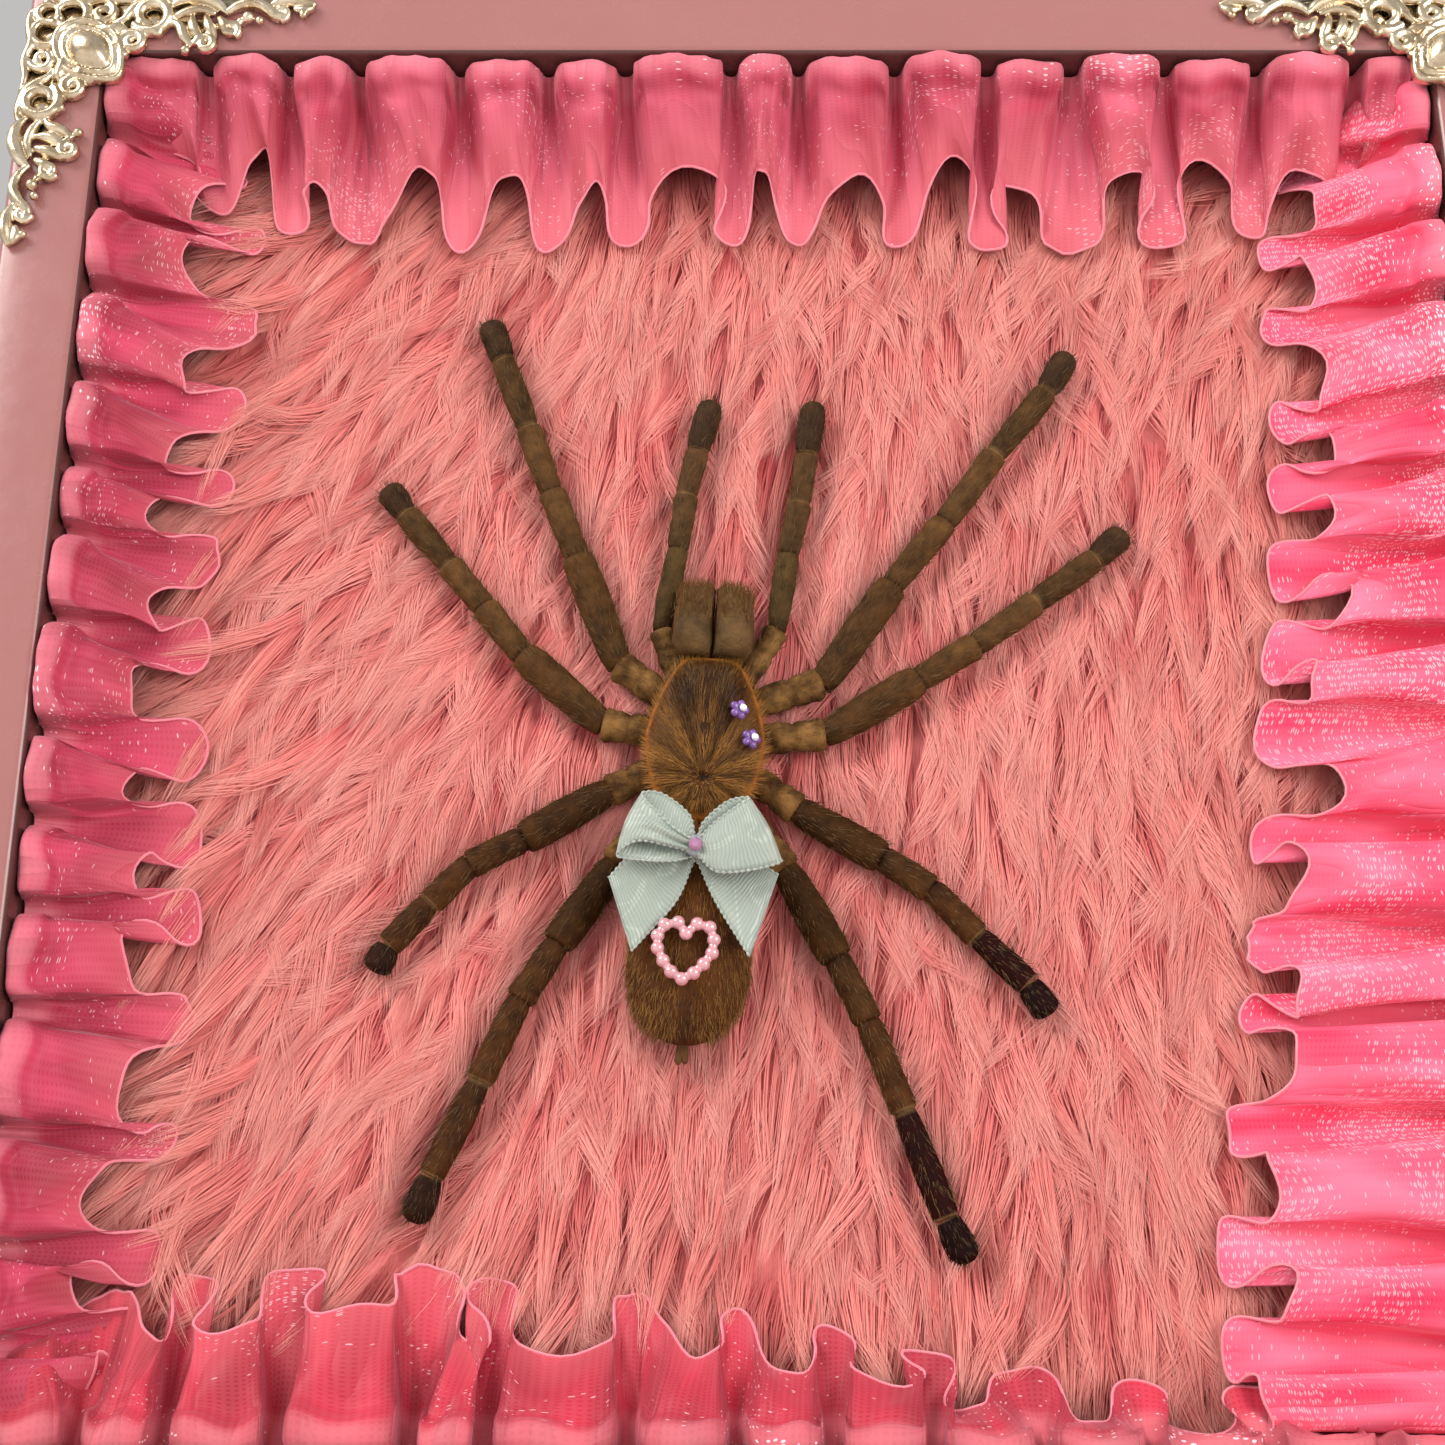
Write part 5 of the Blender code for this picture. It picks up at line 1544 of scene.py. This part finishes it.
def build_spinnerets():
    """Two short fingers and a stub at the rear."""
    fingers = []
    for index, (across, reach, width) in enumerate(SPINNERETS):
        start, end = on_body(across, reach, -3.4), on_body(across * 0.6, -45.9, -3.5)
        fingers.append(segment_shell(f"spinneret_{index}", start, end, width, TARSUS, 0, index))
    return join(fingers, "spinneret_fingers")


JAW_STATIONS = [(10.0, .80, -5.6, -.4), (11.4, .96, -6.6, 0.0), (13.5, 1.0, -7.0, .6), (16.0, .98, -7.0, .9),
                (18.2, .92, -6.6, .9), (19.6, .80, -5.8, .7), (20.4, .62, -4.8, .4), (20.8, .34, -3.6, -.6)]
JAW_HALF, JAW_SEAM = 2.88, 0.12  # half its width, and half the gap between the two
JAW_SQUARE = 0.72                # below one, the cross-section is a rounded square


def build_jaw(hand, name):
    """One blunt jaw through the stations (along, share of its width, y of its front, y of its back)."""
    turn = np.linspace(0, math.tau, 32, endpoint=False)
    wide, deep = [np.sign(wave) * np.abs(wave) ** JAW_SQUARE for wave in (np.cos(turn), np.sin(turn))]
    place = np.linspace(0, 1, 18)
    knots = np.linspace(0, 1, len(JAW_STATIONS))
    columns = (curve_through(knots, column, place)[:, None] for column in zip(*JAW_STATIONS))
    along, share, front, back = columns
    middle, core = hand * (JAW_SEAM + JAW_HALF * share), (front + back) / 2
    rings = body_points(middle + JAW_HALF * share * wide, along + 0 * wide, core - (back - front) / 2 * deep)
    rings = roughened(rings, body_points(middle, along, core), 0.22 * MM, 500, hand)
    return loft(name, rings, place)


# %% Bristles on the body
SHIELD_HAIRS, ABDOMEN_HAIRS, JAW_HAIRS = 6500, 5200, 1500


def shield_hairs(chance):
    """Hairs combed over the shield away from its pit, golden at the rear and dark on the head."""
    count = SHIELD_HAIRS
    turn = chance.uniform(0, math.tau, count)
    share = np.where(chance.uniform(0, 1, count) < 0.15, chance.uniform(0.92, 0.99, count),
                     0.95 * np.sqrt(chance.uniform(0.01, 1, count)))
    across, along = carapace_outline(turn, share)
    reach = np.hypot(across, along - FOVEA) + 0.3
    step = chance.uniform(0.9, 2.1, count) * np.clip(reach / 3, 0.4, 1)
    far_across = across + step * across / reach + chance.normal(0, 0.12, count)
    far_along = along + step * (along - FOVEA) / reach + chance.normal(0, 0.12, count)
    out = np.hypot(across, along - CARAPACE_MIDDLE) + 1e-6
    away = np.hypot(far_across, far_along - CARAPACE_MIDDLE) / out
    far_y = shield_y(far_across, far_along, np.minimum(share * away, 1.0))[0]
    far_y = far_y - chance.uniform(0.1, 0.4, count)
    roots = body_points(across, along, shield_y(across, along, share)[0] - 0.04)
    ends = body_points(far_across, far_along, far_y)
    lengths = np.linalg.norm(ends - roots, axis=1)
    golden = smooth_step(3.0, -6.0, along) * 0.40 + 0.36 * smooth_step(0.75, 1.0, share)
    grooves = 0.22 * np.cos(11 * np.arctan2(across, along - FOVEA)) * smooth_step(0.8, 3.0, reach)
    tone = 0.16 + golden + grooves * smooth_step(6.0, 2.0, along)
    tone = np.clip(tone + chance.normal(0, 0.15, count), 0, 1)
    widths = chance.uniform(0.05, 0.10, count) * MM
    bend = 0.10 * np.tile(FORWARD, (count, 1))
    return bristle_strips("carapace_bristles", roots, unit(ends - roots), lengths, widths, bend, tone, 8)


REARWARD = unit(on_body(0, -1, 0) - on_body(0, 0, 0))


def abdomen_hairs(chance):
    """(bristles, their widths) on the abdomen. They point to the rear and are darker along the seam."""
    count = ABDOMEN_HAIRS
    share = chance.uniform(0.03, 0.97, count)
    turn = chance.uniform(-0.3, math.pi + 0.3, count)
    across, along, y = abdomen_spot(share, turn)
    roots = body_points(across, along, y)
    away = unit(roots - body_points(0 * along, along, ABDOMEN_Y + 0 * along))
    direction = REARWARD + away * chance.uniform(0.15, 0.5, count)[:, None]
    direction = unit(direction + chance.normal(0, 0.15, (count, 3)))
    lengths = chance.uniform(0.9, 2.0, count) * MM
    seam = 0.45 * np.exp(-(across / 0.9) ** 2) * smooth_step(0.55, 0.8, share) * (np.sin(turn) > 0)
    tone = np.clip(chance.normal(0.45, 0.2, count) - seam, 0, 1)
    widths = chance.uniform(0.05, 0.09, count) * MM
    hairs = bristle_strips("abdomen_bristles", roots, direction, lengths, widths, away * -0.12, tone, 7)
    return hairs, widths


def jaw_hairs(chance, widths):
    """Bristles on the front of the jaws and round their tips, with widths from those of the abdomen."""
    count = JAW_HAIRS
    hand = np.where(chance.uniform(0, 1, count) < 0.5, -1, 1)
    across = hand * (3.03 + chance.uniform(-2.6, 2.6, count))
    along = chance.uniform(14.5, 20.6, count)
    front = np.interp(along, *np.transpose(JAW_STATIONS)[[0, 2]])
    y = np.where(chance.uniform(0, 1, count) < 0.6, front + 0.1, chance.uniform(-4.5, 0, count))
    tip = 20.4 - 1.5 * (np.abs(np.abs(across) - 2.2) / 2.9) ** 3
    along = np.where(y > front + 0.2, tip, np.minimum(along, tip))
    direction = unit(0.35 * FORWARD - REARWARD + chance.normal(0, 0.25, (count, 3)))
    lengths = chance.uniform(0.8, 2.0, count) * MM
    tone = chance.uniform(0.1, 0.5, count)
    return bristle_strips("jaw_bristles", body_points(across, along, y), direction, lengths, widths[:count],
                          0 * direction, tone, 9)


def body_bristles():
    """Bristles on the abdomen, the carapace and the jaws."""
    chance = np.random.default_rng(41)
    on_abdomen, widths = abdomen_hairs(chance)
    return on_abdomen, shield_hairs(chance), jaw_hairs(chance, widths)


# %% [markdown]
# ### Finishes of the specimen
#
# Dry chitin is a matt brown with a faint grease shine. The feet are almost black, the middle segments are
# olive brown with lighter streaks, and each joint shows a pale rim of membrane. A leg's map holds its segment
# number and the place along it, so one colour ramp paints all of that.

# %% Chitin finishes
PALE_RIM = paint(132, 104, 70)
RIMMED = (1, 2)                  # the segments that start with a pale rim of membrane
EDGE_SHADE, BODY_SHADE = 0.55, 0.72
FRONT_TONES = [(62, 42, 26), (74, 51, 27), (90, 62, 34), (88, 60, 32), (78, 52, 26), (98, 68, 34)]
LEFT_BACK_TONES = [(42, 20, 8), (66, 38, 16), (72, 42, 17), (68, 40, 16), (60, 36, 12), (90, 60, 26)]
RIGHT_BACK_TONES = [(24, 2, 1), (36, 4, 1), (72, 42, 17), (68, 42, 18), (60, 36, 12), (90, 60, 26)]
PALP_TONES = [(62, 43, 27), (82, 57, 34), (82, 58, 34), (76, 58, 32), (94, 68, 36)]


def segment_stops(tones):
    """Stops of a colour ramp over a whole limb: a pale rim, the tone, and darker towards the body."""
    stops = []
    count = len(tones)
    for index, tone in enumerate(paint(*tone) for tone in tones):
        edge = PALE_RIM if index in RIMMED else tuple(EDGE_SHADE * value for value in tone)
        stops.append(((index + 0.002) / count, edge))
        stops.append(((index + 0.03) / count, tone))
        stops.append(((index + 0.95) / count, tuple(BODY_SHADE * value for value in tone)))
    return stops


def limb_finish(name, tones):
    """Brown chitin in a tone for each segment, with light and dark patches on the hip."""
    made, tree, shader = new_finish(name, Roughness=0.65, Specular_IOR_Level=0.1)
    _, _, segment = surface_map(tree)
    tone = ramp(tree, math_node(tree, "DIVIDE", segment, len(tones)), segment_stops(tones))
    place = object_place(tree)
    cloud = mottled(tree, place, 420.0, 2.6, (0.50, 0.46, 0.42), (1.55, 1.50, 1.35))
    coat = blend_colours(tree, 1.0, tone, cloud, "MULTIPLY")
    patches = mottled(tree, place, 260.0, 4.0, paint(44, 26, 12), paint(158, 116, 66))
    hip = math_node(tree, "GREATER_THAN", segment, len(tones) - 1.0)
    coat = blend_colours(tree, math_node(tree, "MULTIPLY", hip, 0.6), coat, patches)
    wire(tree, coat, shader.inputs["Base Color"])
    grained(tree, shader, place, 2600.0, 0.5, 0.0003)
    return made


def carapace_finish():
    """A shield with a pale rim, dark in its furrows and on its eyes."""
    made, tree, shader = new_finish("carapace shield", Roughness=0.5, Specular_IOR_Level=0.15)
    _, _, outward = surface_map(tree)
    rim = ramp(tree, outward, [(0.0, paint(70, 43, 18)), (0.55, paint(78, 48, 18)), (0.9, paint(84, 50, 16)),
                               (0.97, paint(146, 90, 32))])
    relief = add(tree, "ShaderNodeAttribute", attribute_name="relief")
    deep = ramp(tree, math_node(tree, "ADD", relief.outputs["Fac"], 0.5),
                [(0.0, (0.30, 0.26, 0.22)), (0.48, (1.1, 1.05, 0.95)), (0.9, (0.50, 0.48, 0.46))])
    place = object_place(tree)
    cloud = mottled(tree, place, 520.0, 2.2, grey(0.5), (1.5, 1.45, 1.3))
    shaded = blend_colours(tree, 1.0, rim, deep, "MULTIPLY")
    wire(tree, blend_colours(tree, 1.0, shaded, cloud, "MULTIPLY"), shader.inputs["Base Color"])
    grained(tree, shader, place, 1900.0, 0.5, 0.0003)
    return made


def hide_finish(name, dark, light, scale):
    """Velvety skin between two tones."""
    made, tree, shader = new_finish(name, Roughness=0.7, Specular_IOR_Level=0.15)
    place = object_place(tree)
    wire(tree, mottled(tree, place, scale, 2.4, dark, light), shader.inputs["Base Color"])
    grained(tree, shader, place, 1700.0, 0.7, 0.0004)
    return made


def bristle_finish(name, dark, light):
    """Hairs of many tones: a hair's own tone is the first part of its map."""
    made, tree, shader = new_finish(name, Roughness=0.5, Specular_IOR_Level=0.2)
    _, own_tone, _ = surface_map(tree)
    wire(tree, ramp(tree, own_tone, [(0.0, dark), (1.0, light)]), shader.inputs["Base Color"])
    return made


# %% Make the spider
FRONT_LEG = limb_finish("front leg", FRONT_TONES)
LEFT_BACK_LEG = limb_finish("left back leg", LEFT_BACK_TONES)
RIGHT_BACK_LEG = limb_finish("right back leg", RIGHT_BACK_TONES)
PALP = limb_finish("palp", PALP_TONES)
LEG_BRISTLES = bristle_finish("leg bristles", paint(22, 13, 6), paint(124, 94, 56))
BODY_BRISTLES = bristle_finish("body bristles", paint(44, 25, 8), paint(168, 116, 52))
for name in LEG_LINES:
    back = LEFT_BACK_LEG if "left" in name else RIGHT_BACK_LEG
    finish = PALP if name.startswith("palp") else FRONT_LEG if name[-1] in "12" else back
    dress(build_limb(name), finish, "chitin", name)
    dress(limb_bristles(name), LEG_BRISTLES, "chitin")
dress(build_carapace(), carapace_finish(), "chitin", "carapace")
dress(build_abdomen(), hide_finish("abdomen hide", paint(56, 30, 9), paint(96, 54, 17), 160.0),
      "chitin", "abdomen")
dress(build_spinnerets(), hide_finish("spinneret hide", paint(60, 38, 20), paint(105, 70, 38), 300.0),
      "chitin", "spinnerets")
JAW = hide_finish("jaw hide", paint(66, 49, 28), paint(112, 84, 50), 260.0)
dress(build_jaw(-1, "chelicera_left_shell"), JAW, "chitin", "chelicera_left")
dress(build_jaw(1, "chelicera_right_shell"), JAW, "chitin", "chelicera_right")
for hairs in body_bristles():
    dress(hairs, BODY_BRISTLES, "chitin")


# %% [markdown]
# ## Ribbon bow
#
# The bow is one length of 10 mm ribbon: a band of two loops pinched at the middle, and two tails behind it,
# cut off slantwise. The ribbon is a soft grosgrain, so it holds round loops. A few pairs of edge points give
# its path and its width at once, and a smooth surface through them gives the folds. Both edges carry a row
# of tiny picot stitches.

# %% Ribbon surfaces
BOW_CENTRE = (-1.4, -20.4)
RIBBON_WIDE = 10 * MM
RIBBON_THICK = 0.22 * MM
EDGE_STEPS, ACROSS_STEPS = 9, 13          # points between two stations, and across the ribbon
PINCH_WIDTH, PINCH_FOLD = 4.5 * MM, 0.5 * MM      # where the ribbon is narrower, it folds by up to this
LOOP_STATIONS = [
    ((0.0, 1.0, -11.4), (0.0, -1.2, -11.4)), ((2.6, 2.9, -12.6), (2.8, -3.9, -12.5)),
    ((5.6, 5.2, -12.5), (7.4, -3.7, -12.4)), ((7.3, 6.7, -11.6), (11.4, -2.4, -11.6)),
    ((4.4, 6.6, -10.3), (10.2, -1.4, -10.3)), ((1.2, 3.8, -10.3), (3.6, -1.4, -10.3)),
    ((0.0, 1.2, -10.3), (0.0, -1.2, -10.3)), ((-0.9, 4.6, -10.3), (-3.4, -2.2, -11.5)),
    ((-4.6, 7.6, -10.4), (-9.0, -1.9, -11.6)), ((-7.4, 7.3, -11.5), (-10.6, -1.3, -12.0)),
    ((-5.4, 4.6, -12.7), (-7.8, 0.4, -12.4)), ((-2.6, 1.9, -12.7), (-3.4, -0.4, -12.5))]
TAIL_STATIONS = [
    ((-11.8, -4.0, -9.4), (-8.6, -14.1, -9.4)), ((-8.4, -0.6, -9.4), (-2.8, -7.4, -9.4)),
    ((-2.0, 0.8, -9.5), (-0.4, -2.0, -9.5)), ((2.0, 0.8, -9.5), (0.4, -2.0, -9.5)),
    ((8.2, -1.6, -9.4), (2.8, -7.4, -9.4)), ((11.2, -3.6, -9.4), (7.3, -14.9, -9.4))]


def smooth_edge(points, steps, joined):
    """A smooth line through points (n, 3) with steps between two of them."""
    count = len(points)
    if joined:
        points = np.concatenate([points[-2:], points, points[:3]])
    share = np.arange(len(points), dtype=float)
    first, last = (2, count + 2) if joined else (0, count - 1)
    reads = np.linspace(first, last, (last - first) * steps + 1)
    return np.stack([curve_through(share, points[:, axis], reads) for axis in range(3)], axis=1)


def ribbon_cloth(name, stations, joined, bulge):
    """(ribbon, its two edge lines, its length) from pairs of edge points about the bow's middle."""
    edges = []
    for line in zip(*stations):
        spots = np.array([on_specimen(BOW_CENTRE[0] + a, BOW_CENTRE[1] + b, y) for a, b, y in line])
        edges.append(smooth_edge(spots, EDGE_STEPS, joined))
    share = np.linspace(0, 1, ACROSS_STEPS)
    middle = (edges[0] + edges[1]) / 2
    across = edges[1] - edges[0]
    normal = unit(np.cross(np.gradient(middle, axis=0), across))
    wide = np.linalg.norm(across, axis=1)
    crown = np.sin(np.pi * share)[None, :] * (bulge * (wide / RIBBON_WIDE))[:, None]
    pinch = np.exp(-(wide / PINCH_WIDTH) ** 2)[:, None] * PINCH_FOLD * np.sin(4 * np.pi * share)[None, :]
    points = edges[0][:, None] + across[:, None] * share[None, :, None]
    points = points + normal[:, None] * (crown + pinch)[..., None]
    length = arc_length(middle)
    cloth = np.stack(np.broadcast_arrays(length[:, None], share[None, :] * RIBBON_WIDE), axis=-1)
    sheet = grid_mesh(name, points, cloth)
    if joined:
        activate(sheet)
        edit()
        bpy.ops.mesh.remove_doubles(threshold=0.01 * MM)
        leave_edit()
    thicken = sheet.modifiers.new("cloth", "SOLIDIFY")
    thicken.thickness = RIBBON_THICK
    thicken.offset = 0.0
    finish_modifiers(sheet)
    return sheet, edges, length[-1]


RIB_PITCH, PICOT_PITCH = 0.48 * MM, 0.85 * MM


def picot(name, line):
    """A row of tiny stitches along an edge: a tube that swells at each one."""
    length = arc_length(line)
    reads = np.linspace(0, length[-1], int(length[-1] / (0.16 * MM)))
    fine = np.stack([np.interp(reads, length, line[:, axis]) for axis in range(3)], axis=1)
    radius = (0.17 + 0.09 * np.cos(math.tau * reads / PICOT_PITCH)) * MM
    return tube_along(name, fine, radius)


def ribbon_finish(name, dark, light, rib):
    """Grosgrain: crosswise wavering ribs on a surface map in metres, with a soft mottled tone, painted shade
    between the ribs, and painted glints on their tops in wavy bands.
    """
    made, tree, shader = new_finish(name, Roughness=0.42, Sheen_Weight=0.35, Sheen_Roughness=0.3,
                                    Specular_IOR_Level=0.5)
    place, along, _ = surface_map(tree)
    sway = add(tree, "ShaderNodeTexNoise", {"Scale": 260.0, "Detail": 1.0})
    wire(tree, place, sway.inputs["Vector"])
    shifted = math_node(tree, "ADD", along, math_node(tree, "MULTIPLY", sway.outputs["Fac"], 1.2 * MM))
    ribs = math_node(tree, "SINE", math_node(tree, "MULTIPLY", shifted, math.tau / rib))
    height = math_node(tree, "ADD", math_node(tree, "MULTIPLY", ribs, 0.5), 0.5)
    tone = mottled(tree, place, 180.0, 1.4, dark, light)
    # Painted shade in the valleys between the ribs.
    shade = ramp(tree, height, [(0.0, (0.80, 0.86, 0.87)), (0.6, grey(1.0))])
    ribbed = blend_colours(tree, 1.0, tone, shade, "MULTIPLY")
    # Painted glints on the rib tops, in wavy bands.
    rib_glint_noise = add(tree, "ShaderNodeTexNoise", {"Scale": 150.0, "Detail": 0.0, "Distortion": 1.2})
    wire(tree, place, rib_glint_noise.inputs["Vector"])
    band = math_node(tree, "ABSOLUTE", math_node(tree, "SUBTRACT", rib_glint_noise.outputs["Fac"], 0.5))
    rib_glint_band = ramp(tree, band, [(0.0, grey(0.4)), (0.045, grey(0.0))])
    lit = math_node(tree, "MULTIPLY", rib_glint_band, height)
    wire(tree, blend_colours(tree, lit, ribbed, paint(222, 232, 222)), shader.inputs["Base Color"])
    bump(tree, shader, height, 0.6, 0.00012)
    return made


# %% Make the bow
RIBBON = ribbon_finish("aqua grosgrain", paint(148, 162, 154), paint(176, 182, 168), RIB_PITCH)
PICOT = ribbon_finish("picot stitches", paint(162, 174, 166), paint(190, 196, 184), PICOT_PITCH)
loops, loop_edges, loop_length = ribbon_cloth("bow_loops", LOOP_STATIONS, True, -0.6 * MM)
tails, tail_edges, tail_length = ribbon_cloth("bow_tails", TAIL_STATIONS, False, 0.35 * MM)
stitches = join([picot(f"picot_{i}", line) for i, line in enumerate(loop_edges + tail_edges)], "bow_picots")
dress(loops, RIBBON, "bow_ribbon", "ribbon_bow")
dress(tails, RIBBON, "bow_ribbon")
dress(stitches, PICOT, "bow_ribbon")
print("ribbon length:", round(loop_length, 3), round(tail_length, 3))


# %% [markdown]
# ## Gems and pearls
#
# The trims are cheap moulded plastic: a faceted pink stone in a bead of clear glue on the bow, a heart of
# fourteen pearls moulded in one string, and two violet flowers with a white stone in each. They are lofts
# and primitives with few faces, because each is only two or three millimetres across.

# %% Trim shapes
def tilted(centre, tilt, across, up, out):
    """A point of a trim that is turned by tilt about the up axis, from millimetres to metres."""
    return (np.array([across * math.cos(tilt) + out * math.sin(tilt),
                      across * math.sin(tilt) - out * math.cos(tilt), up]) * MM + centre)


FACETS = 12
STONE_ROWS = [(0.92, 0.0), (1.0, 0.25), (0.84, 0.66), (0.52, 1.0)]     # shares of its radius and its height


def cut_stone(name, centre, diameter, height, tilt=0.0):
    """A flat-backed stone with two rows of facets and a table."""
    rings = []
    for row, (share, rise) in enumerate(STONE_ROWS):
        turns = np.linspace(0, math.tau, FACETS, endpoint=False) + math.pi / FACETS * (row % 2)
        reach = diameter / 2 * share
        rings.append([tilted(centre, tilt, reach * math.cos(turn), reach * math.sin(turn), rise * height)
                      for turn in turns])
    stone = loft(name, np.array(rings)[:, ::-1], np.linspace(0, 1, len(rings)))
    stone.data.shade_flat()
    return stone


HEART = [(-2.65, -32.2), (-1.15, -30.9), (0.55, -31.4), (1.1, -33.1), (0.85, -34.9), (-0.3, -36.4),
         (-1.6, -37.6), (-3.2, -38.4), (-4.65, -37.4), (-5.7, -35.9), (-6.45, -34.2), (-6.45, -32.5),
         (-5.5, -31.0), (-3.7, -30.7)]
HEART_Y, PEARL, BRIDGE = -9.9, 1.86, 1.2       # place, and the widths of a pearl and of what joins two


def build_heart():
    """Fourteen pearls and the plastic that joins each to the next."""
    parts = []
    spots = [on_specimen(*spot, HEART_Y) for spot in HEART]
    for before, spot in zip(spots[-1:] + spots[:-1], spots):
        deselect()
        bpy.ops.mesh.primitive_uv_sphere_add(segments=24, ring_count=14, radius=PEARL / 2 * MM, location=spot)
        parts.append(settle(bpy.context.object))
        span = Vector(spot - before)
        turn = span.to_track_quat("Z", "Y").to_euler()
        bpy.ops.mesh.primitive_cylinder_add(vertices=16, radius=BRIDGE / 2 * MM, depth=span.length,
                                            location=(before + spot) / 2, rotation=turn)
        parts.append(settle(bpy.context.object))
    heart = join(parts, "pearl_string")
    heart.data.shade_smooth()
    return heart


FLOWER, PETALS, FLOWER_SIDES = 3.0, 5, 60
FLOWER_SPOTS = {"upper": (4.5, 0.3), "lower": (6.1, -3.7)}
FLOWER_ROWS = [(0.9, 0.0), (1.0, 0.22), (0.96, 0.52), (0.80, 0.76), (0.55, 0.80), (0.30, 0.66), (0.1, 0.6)]


def flower_place(spot):
    """Centre of a flower's back on the slope of the carapace, and the turn that lays it there."""
    across = spot[0] * math.cos(BODY_TILT) - spot[1] * math.sin(BODY_TILT)
    along = spot[0] * math.sin(BODY_TILT) + spot[1] * math.cos(BODY_TILT)
    share = min(0.9, abs(across) / CARAPACE_HALF)
    tilt = math.radians(18 + 12 * share)
    dome = -3.3 - 4.1 * math.sqrt(1 - share ** 2)
    brow = 0.7 * smooth_step(-2.0, 4.0, along) * smooth_step(0.95, 0.5, share)
    y = dome - brow - 0.3 - FLOWER / 2 * math.sin(tilt) * 0.7
    return on_specimen(*spot, y), tilt


def build_flower(name, spot):
    centre, tilt = flower_place(spot)
    rings = []
    for share, rise in FLOWER_ROWS:
        ring = []
        for turn in np.linspace(0, math.tau, FLOWER_SIDES, endpoint=False):
            petal = abs(math.cos(PETALS / 2 * turn))
            reach = FLOWER / 2 * share * (0.56 + 0.44 * petal ** 0.55)
            dip = 0.16 * (1 - petal) * smooth_step(0.2, 0.6, share)
            ring.append(tilted(centre, tilt, reach * math.cos(turn), reach * math.sin(turn), rise - dip))
        rings.append(ring)
    return loft(name, np.array(rings)[:, ::-1], np.linspace(0, 1, len(rings)))


# %% [markdown]
# ### Finishes of the trims
#
# Pearl lacquer is pale pink with a soft coat, the flowers are clear violet plastic, and the stones are
# bright acrylic. Each colour wanders a little, as moulded plastic does.

# %% Trim finishes
def plastic_finish(name, dark, light, scale, **sockets):
    """Moulded plastic between two tones."""
    made, tree, shader = new_finish(name, **sockets)
    place = object_place(tree)
    wire(tree, mottled(tree, place, scale, 1.6, dark, light), shader.inputs["Base Color"])
    grained(tree, shader, place, scale * 3, 0.08, 0.0002)
    return made


# %% Make the trims
LILAC = plastic_finish("lilac acrylic", paint(150, 92, 138), paint(196, 148, 180), 900.0, Roughness=0.06,
                       Coat_Weight=1.0)
GLUE = plastic_finish("clear glue", paint(160, 164, 178), paint(196, 198, 208), 500.0, Roughness=0.12,
                      Alpha=0.5)
PEARLY = plastic_finish("pink pearl", paint(204, 138, 148), paint(228, 164, 170), 700.0, Roughness=0.22,
                        Coat_Weight=1.0, Coat_Roughness=0.04, Coat_IOR=2.2)
VIOLET = plastic_finish("violet plastic", paint(92, 56, 128), paint(140, 98, 172), 700.0, Roughness=0.16,
                        Coat_Weight=0.6)
CRYSTAL = plastic_finish("bright acrylic", paint(226, 226, 244), paint(250, 250, 255), 1500.0, Roughness=0.05,
                         Coat_Weight=1.0)
GLUE_RADIUS, GLUE_SHAPE = 1.55 * MM, (0.95, 0.40, 1.0)

gem_spot = on_specimen(*BOW_CENTRE, -11.8)
dress(cut_stone("lilac_stone", gem_spot, 2.0, 1.2), LILAC, "bow_gem", "bow_gem")
deselect()
bpy.ops.mesh.primitive_uv_sphere_add(segments=28, ring_count=16, radius=GLUE_RADIUS,
                                     location=gem_spot + (0, 0.4 * MM, 0), scale=GLUE_SHAPE)
glue = settle(bpy.context.object, "glue_bead")
glue.data.shade_smooth()
dress(glue, GLUE, "bow_gem")
dress(build_heart(), PEARLY, "heart_pearl", "pearl_heart")
for place, spot in FLOWER_SPOTS.items():
    centre, tilt = flower_place(spot)
    dress(build_flower(f"flower_{place}", spot), VIOLET, "flower_plastic", f"flower_gem_{place}")
    stone = cut_stone(f"stone_{place}", tilted(centre, tilt, 0.3, 0.1, 0.8), 1.1, 0.6, tilt)
    dress(stone, CRYSTAL, "flower_stone", f"flower_stone_{place}")
print("trims made")


# %% [markdown]
# ## Floor and light
#
# The box stands on a plain pale floor under soft studio light: a wide key high at the upper left, where the
# rails don't mirror it to the camera, a weaker fill from the right, and a pale world that the gloss and the
# metal reflect.

# %% Floor
FLOOR_SIZE = 6.0
deselect()
bpy.ops.mesh.primitive_plane_add(size=FLOOR_SIZE, location=(0, 0, 0))
floor = settle(bpy.context.object, "floor")
floor_finish, floor_tree, floor_shader = new_finish("pale floor", Roughness=0.7)
floor_tone = mottled(floor_tree, object_place(floor_tree), 3.0, 0.5, (0.72, 0.70, 0.69), (0.80, 0.78, 0.77))
wire(floor_tree, floor_tone, floor_shader.inputs["Base Color"])
floor.data.materials.append(floor_finish)


# %% Lights
WARM_WHITE = (1.0, 0.97, 0.93)
WORLD_TONE, WORLD_STRENGTH = (0.95, 0.93, 0.92, 1.0), 0.56


def soft_light(name, place, size, power):
    """A square softbox that faces the middle of the frame. Metres and watts."""
    deselect()
    bpy.ops.object.light_add(type="AREA", location=place)
    light = bpy.context.object
    light.name = name
    light.data.size = size
    light.data.energy = power
    light.data.color = WARM_WHITE
    light.rotation_euler = (Vector((0, 0, MIDDLE_Z)) - light.location).to_track_quat("-Z", "Y").to_euler()


soft_light("key", (-1.28, -1.02, 1.24), 1.12, 33.0)
soft_light("fill", (0.75, -0.75, 0.20), 0.7, 8.6)
world = bpy.data.worlds.new("studio")
bpy.context.scene.world = world
world.use_nodes = True
backdrop = world.node_tree.nodes["Background"]
backdrop.inputs["Color"].default_value = WORLD_TONE
backdrop.inputs["Strength"].default_value = WORLD_STRENGTH
